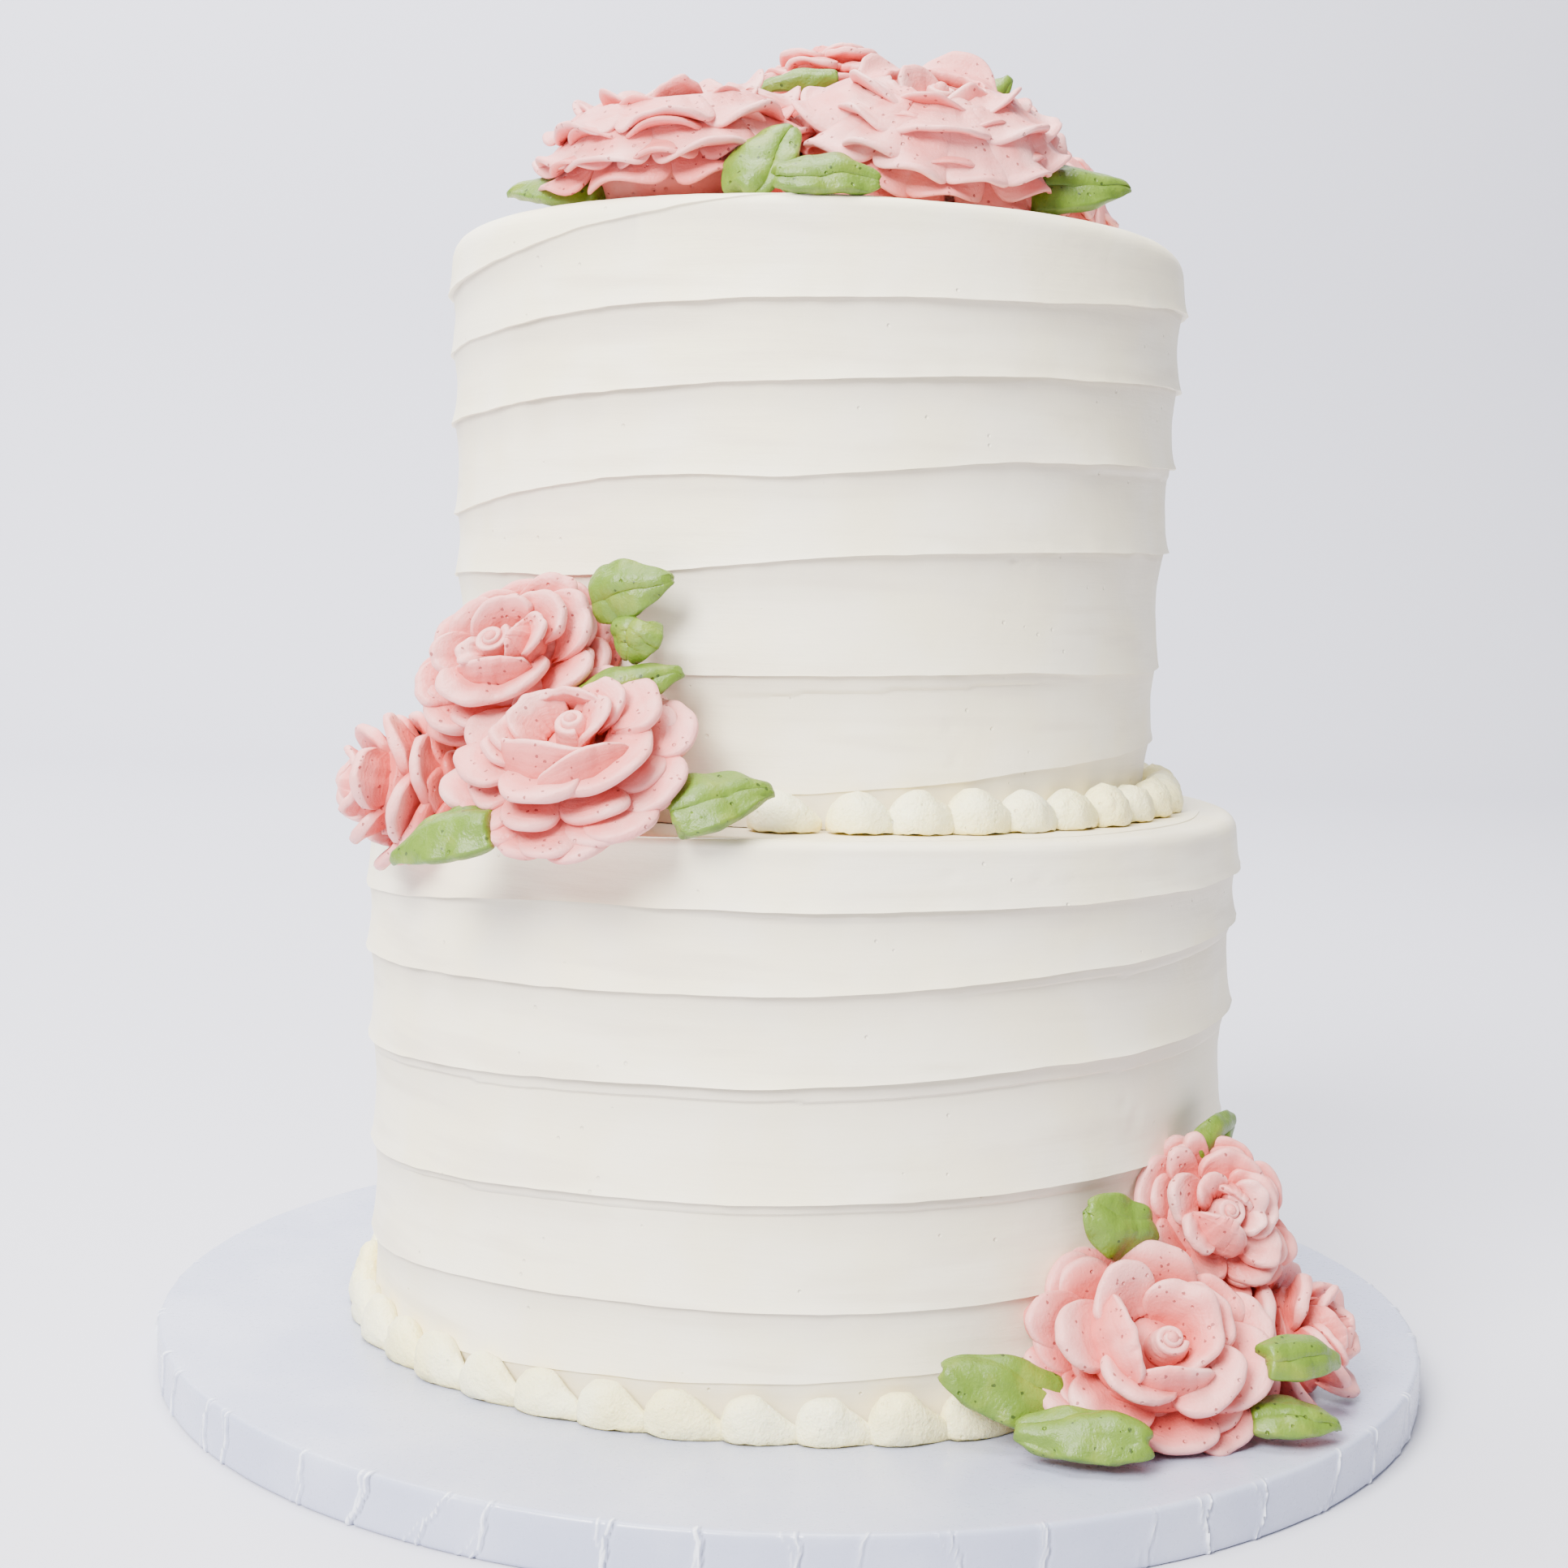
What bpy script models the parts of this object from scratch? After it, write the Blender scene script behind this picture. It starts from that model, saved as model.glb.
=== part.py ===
"""A two-tier iced cake on its foil-covered drum, with piped borders, roses and leaves.

Metres, +Z up. The origin is the middle of the drum's underside, and the front faces -Y.
A bearing is measured round the cake in degrees from the front, positive to the right.
A height is measured up from the drum's top face.
"""

import math
import random
from collections import namedtuple

import bmesh
import bpy
from mathutils import Matrix, Vector

MM = 0.001

# Air left between two pieces that touch
GAP = 0.3 * MM

# Points closer than this are one point
WELD = 0.001 * MM

# Drum: a 12 inch board, 12 mm thick, with a softly rounded foil edge
DRUM_RADIUS = 152.5 * MM
DRUM_THICKNESS = 12 * MM
DRUM_EDGE = 1.2 * MM
DRUM_SEGMENTS = 56

# Spatula ridges: one spiral that climbs to the right, each band proud at its lower edge
RIDGE_LIP = 1.3 * MM
RIDGE_SCOOP = 2.2
RIDGE_RECESS = 0.4
RIDGE_STEP = 0.5 * MM
RIDGE_COLUMNS = 42
RIDGE_BEARINGS = (-90, 0, 90)

# On each turn of the spiral: the top of one step, the foot of the next and the hollow between
RIDGE_ROWS = 3
SHOULDER_RISE = 0.6 * MM
SHOULDER_DEGREES = (45, 90)

# A tier's ridges give, turn by turn, the ridge's height in mm at the three bearings above
Tier = namedtuple("Tier", "name base top foot_radius head_radius shoulder side_shoulder ridges")

BOTTOM_TIER = Tier(
    name="bottom_tier",
    base=0.0,
    top=125 * MM,
    foot_radius=101.5 * MM,
    head_radius=105.0 * MM,
    shoulder=2.0 * MM,
    side_shoulder=1.0 * MM,
    ridges=((-30, -20, -10), (-6, 6, 12), (18, 27, 31), (40, 50, 53), (64, 74, 80),
            (87, 93, 100), (102, 110, 113), (118, 127, 133), (140, 146, 152)),
)
TOP_TIER = Tier(
    name="top_tier",
    base=125 * MM,
    top=256.5 * MM,
    foot_radius=82.5 * MM,
    head_radius=87.5 * MM,
    shoulder=2.5 * MM,
    side_shoulder=4.0 * MM,
    ridges=((104, 112, 118), (127, 133, 142), (150, 157, 160), (175, 180, 186), (190, 199, 206),
            (211, 219, 224), (228, 236, 241), (243, 257, 262), (270, 278, 284)),
)

# Piped borders: shells laid end to end, each with a full head and a tail to its right
Border = namedtuple("Border", "name tier depth height first spacing count")

BOTTOM_BORDER = Border("bottom_border", BOTTOM_TIER, 6.8 * MM, 9.5 * MM, 84, 8.6, 35)
TOP_BORDER = Border("top_border", TOP_TIER, 9.2 * MM, 8.8 * MM, -6, 8.7, 34)

# How full a shell is at a few places along it, and the half outline of its cross-section
SHELL_SWELL = ((0.0, 0.52), (0.28, 1.0), (0.62, 0.86))
SHELL_SECTION = ((0.0, 0.0), (0.0, 0.72), (0.36, 1.0), (0.80, 0.78), (1.0, 0.30), (0.84, 0.0))
SHELL_UNEVENNESS = 0.06

# Roses: a place for the middle of the outer petals' rims, the way the bud points, how high the bud
# stands as a share of the radius, how much longer than wide the rose is and which way it is longer
Rose = namedtuple("Rose", "name bearing reach height faces tilt radius rise stretch lean depth seed")

ROSES = (
    Rose("rose_top_right", 26.5, 53, 271.5, 15, 62, 30.5, 0.54, 0.04, 0, 16, 11),
    Rose("rose_top_left", -34, 57, 269.5, -45, 79, 31, 0.50, 0.04, 0, 15, 12),
    Rose("rose_top_middle", 160, 7, 293, 170, 80, 20, 0.50, 0.0, 0, 36, 13),
    Rose("rose_top_side", 90, 52, 269, 88, 45, 22, 0.55, 0.0, 0, 18, 14),
    Rose("rose_top_rear", 176, 40, 268, 178, 48, 23, 0.55, 0.0, 0, 18, 15),
    Rose("rose_top_far", -118, 42, 266, -118, 52, 20, 0.55, 0.0, 0, 16, 16),
    Rose("rose_middle_upper", -38, 101, 159.5, -10, 26, 20.5, 0.55, 0.14, 35, 20, 21),
    Rose("rose_middle_front", -26.5, 107, 136, -20, 50, 26.5, 0.55, 0.0, 0, 15, 22),
    Rose("rose_middle_side", -54.5, 111, 130, -74, 6, 16, 0.60, 0.0, 0, 18, 23),
    Rose("rose_lower_upper", 54, 115, 40.5, 14, 24, 19, 0.55, 0.04, 120, 18, 31),
    Rose("rose_lower_front", 39.2, 120, 18, 10, 37, 27, 0.52, 0.05, 0, 26, 32),
    Rose("rose_lower_side", 60.5, 130, 12.5, 72, 22, 18, 0.60, 0.0, 0, 24, 33),
)

# Each ring of petals: share of the radius and of the bud's rise at its rim and in the crease behind it
PETAL_RINGS = (
    ((1.00, 0.00), (0.68, 0.08)),
    ((0.82, 0.40), (0.48, 0.44)),
    ((0.57, 0.76), (0.28, 0.62)),
)
PETAL_COUNTS = (5, 5, 4)
PETAL_NOTCH = 0.16
PETAL_DROP = 0.16
PETAL_FULLNESS = 0.5
PETAL_UNEVENNESS = 0.05

# Every second ring is turned by this share of a petal
PETAL_STAGGER = 0.5
BUD_RIM = (0.20, 0.94)
BUD_TIP = 0.88
ROSE_FOOT = (0.74, -0.30)
ROSE_PAD = 0.48
ROSE_COLUMNS = 20

# The room that a rose takes: its outline as shares of the radius and of the bud's rise
ROOM_COLUMNS = 18
ROOM_MARGIN = 1.06
ROOM_PROFILE = ((0.80, -0.34), (1.0, -0.06), (1.0, 0.08), (0.85, 0.46), (0.62, 0.84), (0.27, 1.0))

# The room that the cake takes reaches past everything round it and under it
CAKE_ROOM_COLUMNS = 64
CAKE_ROOM_SPARE = 20 * MM
CAKE_ROOM_UNDER = 10 * MM

# Leaves: base and tip as (bearing, reach, height), the way the upper face looks, the width, and
# how round the free end is, from 0 for a drawn-out point to 1 for a blunt one
Leaf = namedtuple("Leaf", "name base tip faces tilt width round_end seed")

LEAVES = (
    Leaf("leaf_top_left", (-40, 72, 258), (-61, 79.5, 261), -38, 55, 12, 0, 41),
    Leaf("leaf_top_right", (40, 68, 261), (59, 80, 265.5), 40, 45, 14, 0, 42),
    Leaf("leaf_top_standing", (-11.5, 78, 260), (-4.5, 70, 271.5), -18, 32, 15, 0.6, 43),
    Leaf("leaf_top_front", (-3, 83, 260), (8.5, 82, 260.5), 5, 42, 10, 0.8, 44),
    Leaf("leaf_top_middle", (-28, 30, 288), (6, 26, 291), -8, 20, 6, 0.3, 45),
    Leaf("leaf_top_peak", (95, 36, 286), (99, 45.5, 298.5), 0, 15, 7, 0, 46),
    Leaf("leaf_top_back", (155, 52, 260), (150, 78, 262), 155, 75, 14, 0, 47),
    Leaf("leaf_middle_high", (-29, 91, 172.5), (-18, 91, 177), -22, 10, 13, 0, 51),
    Leaf("leaf_middle_fold", (-21.5, 92, 167.5), (-23, 94, 160), -20, 15, 11.5, 0.2, 52),
    Leaf("leaf_middle_right", (-28, 101, 147.5), (-16, 92.5, 158), -15, 30, 12, 0, 53),
    Leaf("leaf_middle_ledge", (-14.2, 109, 129), (-3.5, 100, 134.5), -8, 45, 15, 0, 54),
    Leaf("leaf_middle_rim", (-30.4, 122, 125.5), (-41.5, 127, 117.5), -30, 40, 13, 0, 55),
    Leaf("leaf_lower_high", (54.5, 107, 52), (65, 109, 58), 48, 10, 10, 0.3, 61),
    Leaf("leaf_lower_wall", (44, 109, 37.5), (35.4, 107, 47), 15, 15, 14, 0.8, 62),
    Leaf("leaf_lower_left", (28, 114, 9), (17, 108, 16), 20, 30, 14, 0.7, 63),
    Leaf("leaf_lower_front", (31.5, 136, 5.5), (23, 120, 5.5), 20, 42, 12, 0.8, 64),
    Leaf("leaf_lower_right", (46, 138, 17), (54, 145, 14), 30, 40, 10, 0.1, 65),
    Leaf("leaf_lower_tip", (45, 137, 4.5), (51, 150, 3), 40, 60, 11, 0, 66),
)

# Along a leaf: how far from its base, and its share of the full width if pointed and if round
LEAF_STATIONS = ((0.0, 0.50, 0.60), (0.28, 0.95, 1.0), (0.58, 0.92, 1.0), (0.86, 0.42, 0.84))
LEAF_SIDES = (-1.0, -0.5, 0.0, 0.5, 1.0)
LEAF_THICKNESS = 2.4 * MM
LEAF_ARCH = 1.8 * MM
LEAF_VEIN = 1.1 * MM
LEAF_RUFFLE = 0.7 * MM
LEAF_RUFFLE_TURN = 9

# The share of the thickness that is lost towards the tip and towards the edges
LEAF_TIP_THINNING = 0.55
LEAF_EDGE_THINNING = 0.45

# Edges sharper than this many degrees stay crisp
CRISP_TIER = 30
CRISP_DRUM = 60
CRISP_BORDER = 50
CRISP_ROSE = 60
CRISP_LEAF = 50

# Finishes: sRGB colour and roughness
FINISHES = {
    "foil": ((224, 227, 236), 0.34),
    "icing": ((243, 239, 230), 0.55),
    "shell_icing": ((247, 243, 228), 0.50),
    "rose_icing": ((240, 196, 190), 0.55),
    "leaf_icing": ((172, 200, 138), 0.52),
}


def clear_scene():
    """Start from an empty scene."""
    for thing in list(bpy.data.objects):
        bpy.data.objects.remove(thing, do_unlink=True)


def linear(channel):
    """Turn one 0 to 255 sRGB channel into linear light."""
    share = channel / 255
    if share <= 0.04045:
        return share / 12.92
    return ((share + 0.055) / 1.055) ** 2.4


def make_finish(piece_name, finish):
    """Give a piece a plain material of its own."""
    colour, roughness = FINISHES[finish]
    material = bpy.data.materials.new(piece_name + "_" + finish)
    material.use_nodes = True
    shader = material.node_tree.nodes["Principled BSDF"]
    shader.inputs["Base Color"].default_value = [linear(c) for c in colour] + [1.0]
    shader.inputs["Roughness"].default_value = roughness
    shader.inputs["Metallic"].default_value = 0.0
    return material


def add_piece(name, bm, finish, crisp):
    """Close a bmesh into a named, smooth-shaded object."""
    bmesh.ops.recalc_face_normals(bm, faces=bm.faces)
    mesh = bpy.data.meshes.new(name)
    bm.to_mesh(mesh)
    bm.free()
    mesh.shade_smooth()
    mesh.set_sharp_from_angle(angle=math.radians(crisp))
    piece = bpy.data.objects.new(name, mesh)
    bpy.context.scene.collection.objects.link(piece)
    if finish:
        mesh.materials.append(make_finish(name, finish))
    return piece


def add_room(name, bm):
    """Add a hidden cutter that keeps a piece's place clear of its neighbours."""
    room = add_piece(name, bm, None, CRISP_ROSE)
    room.hide_render = True
    room.display_type = "WIRE"
    return room


def keep_out(piece, room):
    """Trim a piece back from a neighbour's room."""
    cut = piece.modifiers.new("clear_of_" + room.name, "BOOLEAN")
    cut.operation = "DIFFERENCE"
    cut.solver = "EXACT"
    cut.object = room


def on_cake(bearing, reach, height):
    """The point at a bearing, a distance from the cake's axis and a height above the drum."""
    angle = math.radians(bearing)
    return Vector((reach * math.sin(angle), -reach * math.cos(angle), DRUM_THICKNESS + height))


def facing(bearing, tilt):
    """The unit vector that looks out at a bearing, tilted up by some degrees."""
    angle = math.radians(bearing)
    rise = math.radians(tilt)
    return Vector((math.cos(rise) * math.sin(angle), -math.cos(rise) * math.cos(angle), math.sin(rise)))


def add_loop(bm, points):
    """Add one ring of vertices."""
    return [bm.verts.new(point) for point in points]


def skin(bm, loops):
    """Join neighbouring rings of vertices with faces."""
    for lower, upper in zip(loops, loops[1:]):
        for i in range(len(lower)):
            j = (i + 1) % len(lower)
            bm.faces.new((lower[i], lower[j], upper[j], upper[i]))


def turn_profile(profile, columns):
    """Turn an outline of (radius, height) points, which starts and ends on the axis, into a solid."""
    bm = bmesh.new()
    verts = [bm.verts.new((radius, 0, height)) for radius, height in profile]
    edges = [bm.edges.new(pair) for pair in zip(verts, verts[1:])]
    bmesh.ops.spin(bm, geom=verts + edges, cent=(0, 0, 0), axis=(0, 0, 1), angle=math.tau,
                   steps=columns, use_merge=True, use_duplicate=False)
    bmesh.ops.remove_doubles(bm, verts=bm.verts, dist=WELD)
    return bm


def smooth_value(knots, values, place):
    """Read a smooth curve through (knot, value) points at one place."""
    last = len(knots) - 2
    i = min(max(sum(1 for knot in knots if knot <= place) - 1, 0), last)
    span = knots[i + 1] - knots[i]
    slopes = []
    for k in (i, i + 1):
        low = max(k - 1, 0)
        high = min(k + 1, last + 1)
        slopes.append((values[high] - values[low]) / (knots[high] - knots[low]) * span)
    t = min(max((place - knots[i]) / span, 0.0), 1.0)
    return ((2 * t ** 3 - 3 * t ** 2 + 1) * values[i] + (t ** 3 - 2 * t ** 2 + t) * slopes[0]
            + (3 * t ** 2 - 2 * t ** 3) * values[i + 1] + (t ** 3 - t ** 2) * slopes[1])


def ridge_height(tier, turned):
    """Height of the spiral ridge after a number of degrees turned from the first front."""
    knots = []
    values = []
    for turn, heights in enumerate(tier.ridges):
        for bearing, height in zip(RIDGE_BEARINGS, heights):
            knots.append(360 * turn + bearing)
            values.append(height * MM)
    return smooth_value(knots, values, turned)


def wall_radius(tier, height):
    """Radius of a tier's wall, without its ridges."""
    share = (height - tier.base) / (tier.top - tier.base)
    return tier.foot_radius + (tier.head_radius - tier.foot_radius) * share


def lip(share):
    """How proud the icing stands at a share of the way from one ridge to the next above it."""
    return RIDGE_LIP * ((1 - share) ** RIDGE_SCOOP - RIDGE_RECESS)


def shoulder_size(tier, bearing):
    """Radius of the rounded shoulder, which is softer at the sides than at the front."""
    return tier.shoulder + tier.side_shoulder * math.sin(math.radians(bearing)) ** 2


def lip_at(tier, bearing, height):
    """How proud the icing stands at a place on the wall."""
    for turn in range(len(tier.ridges) - 1):
        low = ridge_height(tier, 360 * turn + bearing)
        high = ridge_height(tier, 360 * (turn + 1) + bearing)
        if low <= height < high:
            return lip((height - low) / (high - low))
    return 0.0


def wall_column(tier, bearing, turns):
    """The wall's points at one bearing, from below the foot to above the shoulder."""
    foot = tier.base + GAP
    head = tier.top - shoulder_size(tier, bearing)
    points = []
    for turn in turns:
        low = ridge_height(tier, 360 * turn + bearing)
        high = ridge_height(tier, 360 * (turn + 1) + bearing)
        rows = ((low - RIDGE_STEP, 1.0), (low + RIDGE_STEP, 0.0), ((low + high) / 2, 0.5))
        for height, share in rows:
            proud = lip(share)
            level = height
            if height < foot + SHOULDER_RISE:
                level = foot
            if height > head - SHOULDER_RISE:
                level = head
            if level != height:
                proud = lip_at(tier, bearing, level)
            points.append(on_cake(bearing, wall_radius(tier, level) + proud, level))
    return points


def add_tier(tier):
    """One tier, with the spiral ridge round its wall."""
    bm = bmesh.new()
    step = 360 / RIDGE_COLUMNS
    bearings = [-180 + step * i for i in range(RIDGE_COLUMNS)]
    turns = range(len(tier.ridges) - 1)
    columns = [add_loop(bm, wall_column(tier, bearing, turns)) for bearing in bearings]

    # The spiral meets itself one turn up where it passes the back
    for i in range(RIDGE_COLUMNS):
        here = columns[i]
        there = columns[(i + 1) % RIDGE_COLUMNS]
        lift = 0 if i + 1 < RIDGE_COLUMNS else RIDGE_ROWS
        for row in range(len(here) - 1 - lift):
            bm.faces.new((here[row], there[row + lift], there[row + lift + 1], here[row + 1]))
    heads = []
    for i, bearing in enumerate(bearings):
        size = shoulder_size(tier, bearing)
        head = columns[i][-1]
        reach = math.hypot(head.co.x, head.co.y)
        ring = [head]
        for degrees in SHOULDER_DEGREES:
            angle = math.radians(degrees)
            ring.append(bm.verts.new(on_cake(bearing, reach - size * (1 - math.cos(angle)),
                                             tier.top - size * (1 - math.sin(angle)))))
        heads.append(ring)
    for i in range(RIDGE_COLUMNS):
        here = heads[i]
        there = heads[(i + 1) % RIDGE_COLUMNS]
        for row in range(len(SHOULDER_DEGREES)):
            bm.faces.new((here[row], there[row], there[row + 1], here[row + 1]))
    bm.faces.new([ring[-1] for ring in heads])
    bmesh.ops.remove_doubles(bm, verts=bm.verts, dist=WELD)
    bmesh.ops.dissolve_degenerate(bm, dist=WELD, edges=bm.edges)
    loose = [vert for vert in bm.verts if not vert.link_faces]
    bmesh.ops.delete(bm, geom=loose, context="VERTS")
    open_edges = [edge for edge in bm.edges if edge.is_boundary]
    bmesh.ops.holes_fill(bm, edges=open_edges, sides=0)
    bmesh.ops.triangulate(bm, faces=bm.faces)
    return add_piece(tier.name, bm, "icing", CRISP_TIER)


def add_drum():
    """The round board that the cake is built on."""
    top = DRUM_THICKNESS
    flat = DRUM_RADIUS - DRUM_EDGE
    profile = ((0, 0), (flat, 0), (DRUM_RADIUS, DRUM_EDGE),
               (DRUM_RADIUS, top - DRUM_EDGE), (flat, top), (0, top))
    return add_piece("cake_drum", turn_profile(profile, DRUM_SEGMENTS), "foil", CRISP_DRUM)


def add_border(border):
    """A row of piped shells round the foot of a tier, as one loft."""
    draw = random.Random(border.name)
    inner = wall_radius(border.tier, border.tier.base + border.height) + RIDGE_LIP * (1 - RIDGE_RECESS) + GAP
    foot = border.tier.base + GAP
    bm = bmesh.new()
    loops = []
    for shell in range(border.count):
        size = 1 + SHELL_UNEVENNESS * draw.uniform(-1, 1)
        for place, swell in SHELL_SWELL:
            bearing = border.first + border.spacing * (shell + place)
            full = swell * (size if place else 1)
            loops.append(add_loop(bm, [on_cake(bearing, inner + out * full * border.depth,
                                               foot + up * full * border.height)
                                       for out, up in SHELL_SECTION]))
    skin(bm, loops)
    bm.faces.new(loops[0])
    bm.faces.new(loops[-1])
    bmesh.ops.triangulate(bm, faces=bm.faces)
    return add_piece(border.name, bm, "shell_icing", CRISP_BORDER)


def rose_frame(rose):
    """The rose's own frame: +Z is the way the bud points, and the rose is longer along its lean."""
    turn = facing(rose.faces, rose.tilt).to_track_quat("Z", "Y").to_matrix().to_4x4()
    lean = Matrix.Rotation(math.radians(rose.lean), 4, "Z")
    longer = Matrix.Diagonal((1 + rose.stretch, 1 - rose.stretch, 1, 1))
    place = Matrix.Translation(on_cake(rose.bearing, rose.reach * MM, rose.height * MM))
    return place @ turn @ lean @ longer


def rose_ring(draw, rim, petals, turned):
    """A ring of points whose outline swells at each petal and dips between petals."""
    share, rise = rim
    points = []
    sizes = [1 + PETAL_UNEVENNESS * draw.uniform(-1, 1) for _ in range(max(petals, 1))]
    for i in range(ROSE_COLUMNS):
        phase = i / ROSE_COLUMNS * petals + turned
        swell = math.sin(math.pi * (phase % 1)) ** PETAL_FULLNESS if petals else 1.0
        size = sizes[int(phase) % petals] if petals else 1.0
        reach = share * size * (1 - PETAL_NOTCH * (1 - swell))
        points.append((math.tau * i / ROSE_COLUMNS, reach, rise - PETAL_DROP * (1 - swell)))
    return points


def add_rose(rose):
    """A piped rose: rings of petals round a bud, on a pad of the same icing."""
    draw = random.Random(rose.seed)
    radius = rose.radius * MM
    rise = radius * rose.rise
    depth = rose.depth * MM
    turn_start = draw.uniform(0, math.tau)
    bm = bmesh.new()

    def place(ring):
        return add_loop(bm, [(radius * reach * math.cos(angle + turn_start),
                              radius * reach * math.sin(angle + turn_start),
                              rise * height) for angle, reach, height in ring])

    loops = [place(rose_ring(draw, (ROSE_PAD, -depth / rise), 0, 0))]
    loops.append(place(rose_ring(draw, ROSE_FOOT, 0, 0)))
    for number, ((rim, crease), petals) in enumerate(zip(PETAL_RINGS, PETAL_COUNTS)):
        loops.append(place(rose_ring(draw, rim, petals, PETAL_STAGGER * (number % 2))))
        loops.append(place(rose_ring(draw, crease, 0, 0)))
    loops.append(place(rose_ring(draw, BUD_RIM, 0, 0)))
    skin(bm, loops)
    back = bm.verts.new((0, 0, -depth))
    tip = bm.verts.new((0, 0, rise * BUD_TIP))
    for i in range(ROSE_COLUMNS):
        j = (i + 1) % ROSE_COLUMNS
        bm.faces.new((loops[0][j], loops[0][i], back))
        bm.faces.new((loops[-1][i], loops[-1][j], tip))
    bmesh.ops.triangulate(bm, faces=bm.faces)
    bmesh.ops.transform(bm, matrix=rose_frame(rose), verts=bm.verts)
    return add_piece(rose.name, bm, "rose_icing", CRISP_ROSE)


def add_rose_room(rose):
    """The space that a rose keeps clear of its neighbours."""
    radius = rose.radius * MM
    rise = radius * rose.rise
    back = -rose.depth * MM - GAP
    wide = radius * ROOM_MARGIN + GAP
    profile = [(0, back), (ROSE_PAD * wide, back)]
    profile += [(share * wide, height * rise) for share, height in ROOM_PROFILE]
    profile.append((0, rise * ROOM_PROFILE[-1][1] + GAP))
    bm = turn_profile(profile, ROOM_COLUMNS)
    bmesh.ops.transform(bm, matrix=rose_frame(rose), verts=bm.verts)
    return add_room(rose.name + "_room", bm)


def add_cake_room():
    """The space that the drum and both tiers keep clear of the flowers."""
    proud = RIDGE_LIP * (1 - RIDGE_RECESS) + GAP
    floor = DRUM_THICKNESS + GAP
    under = DRUM_THICKNESS - CAKE_ROOM_UNDER
    wide = DRUM_RADIUS + CAKE_ROOM_SPARE
    profile = [(0, under), (wide, under), (wide, floor)]
    for tier in (BOTTOM_TIER, TOP_TIER):
        profile.append((tier.foot_radius + proud, floor + tier.base))
        profile.append((tier.head_radius + proud, floor + tier.top))
    profile.append((0, floor + TOP_TIER.top))
    return add_room("cake_room", turn_profile(profile, CAKE_ROOM_COLUMNS))


def add_leaf(leaf):
    """A piped leaf: a thin wavy solid with a vein down its middle."""
    draw = random.Random(leaf.seed)
    base = on_cake(leaf.base[0], leaf.base[1] * MM, leaf.base[2] * MM)
    tip = on_cake(leaf.tip[0], leaf.tip[1] * MM, leaf.tip[2] * MM)
    along = tip - base
    side = facing(leaf.faces, leaf.tilt).cross(along).normalized()
    up = along.cross(side).normalized()
    start = draw.uniform(0, math.tau)
    bm = bmesh.new()
    faces_up = []
    faces_down = []
    for place, pointed, blunt in LEAF_STATIONS:
        width = pointed + (blunt - pointed) * leaf.round_end
        upper = []
        lower = []
        for across in LEAF_SIDES:
            ruffle = LEAF_RUFFLE * abs(across) * math.sin(start + LEAF_RUFFLE_TURN * place + across)
            rise = LEAF_ARCH * math.sin(math.pi * place) + LEAF_VEIN * abs(across) + ruffle
            middle = base + along * place + side * (across * width * leaf.width / 2 * MM)
            thick = LEAF_THICKNESS * (1 - LEAF_TIP_THINNING * place) * (1 - LEAF_EDGE_THINNING * abs(across))
            upper.append(bm.verts.new(middle + up * rise))
            lower.append(bm.verts.new(middle + up * (rise - thick)))
        faces_up.append(upper)
        faces_down.append(lower)
    point = bm.verts.new(tip)
    last = len(LEAF_SIDES) - 1

    # Both faces are split along the same diagonals
    for rows in (faces_up, faces_down):
        for here, there in zip(rows, rows[1:]):
            for i in range(last):
                bm.faces.new((here[i], here[i + 1], there[i + 1]))
                bm.faces.new((here[i], there[i + 1], there[i]))
        for i in range(last):
            bm.faces.new((rows[-1][i], rows[-1][i + 1], point))
    for i in range(last):
        bm.faces.new((faces_up[0][i], faces_up[0][i + 1], faces_down[0][i + 1], faces_down[0][i]))
    for edge in (0, last):
        for k in range(len(faces_up) - 1):
            bm.faces.new((faces_up[k][edge], faces_up[k + 1][edge],
                          faces_down[k + 1][edge], faces_down[k][edge]))
        bm.faces.new((faces_up[-1][edge], faces_down[-1][edge], point))
    return add_piece(leaf.name, bm, "leaf_icing", CRISP_LEAF)


def cluster(name):
    """The cluster that a rose or a leaf belongs to: top, middle or lower."""
    return name.split("_")[1]


def build():
    """Build the cake from the drum up."""
    clear_scene()
    add_drum()
    for tier in (BOTTOM_TIER, TOP_TIER):
        add_tier(tier)
    for border in (BOTTOM_BORDER, TOP_BORDER):
        add_border(border)

    # The flowers are trimmed to the cake, and each to the roses piped in front of it
    cake_room = add_cake_room()
    rooms = []
    for rose in ROSES:
        piece = add_rose(rose)
        keep_out(piece, cake_room)
        for room in rooms:
            if cluster(room.name) == cluster(rose.name):
                keep_out(piece, room)
        rooms.append(add_rose_room(rose))
    for leaf in LEAVES:
        piece = add_leaf(leaf)
        keep_out(piece, cake_room)
        for room in rooms:
            if cluster(room.name) == cluster(leaf.name):
                keep_out(piece, room)


build()
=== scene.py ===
"""The look of a two-tier iced cake on its foil-covered drum.

Lengths are in millimetres until on_cake turns them into metres. A bearing is measured round the
cake in degrees from the front, positive to the right, and a height from the drum's top face.
"""

import math
import random
from collections import namedtuple

import bmesh
import bpy
from mathutils import Matrix, Vector, noise


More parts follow.
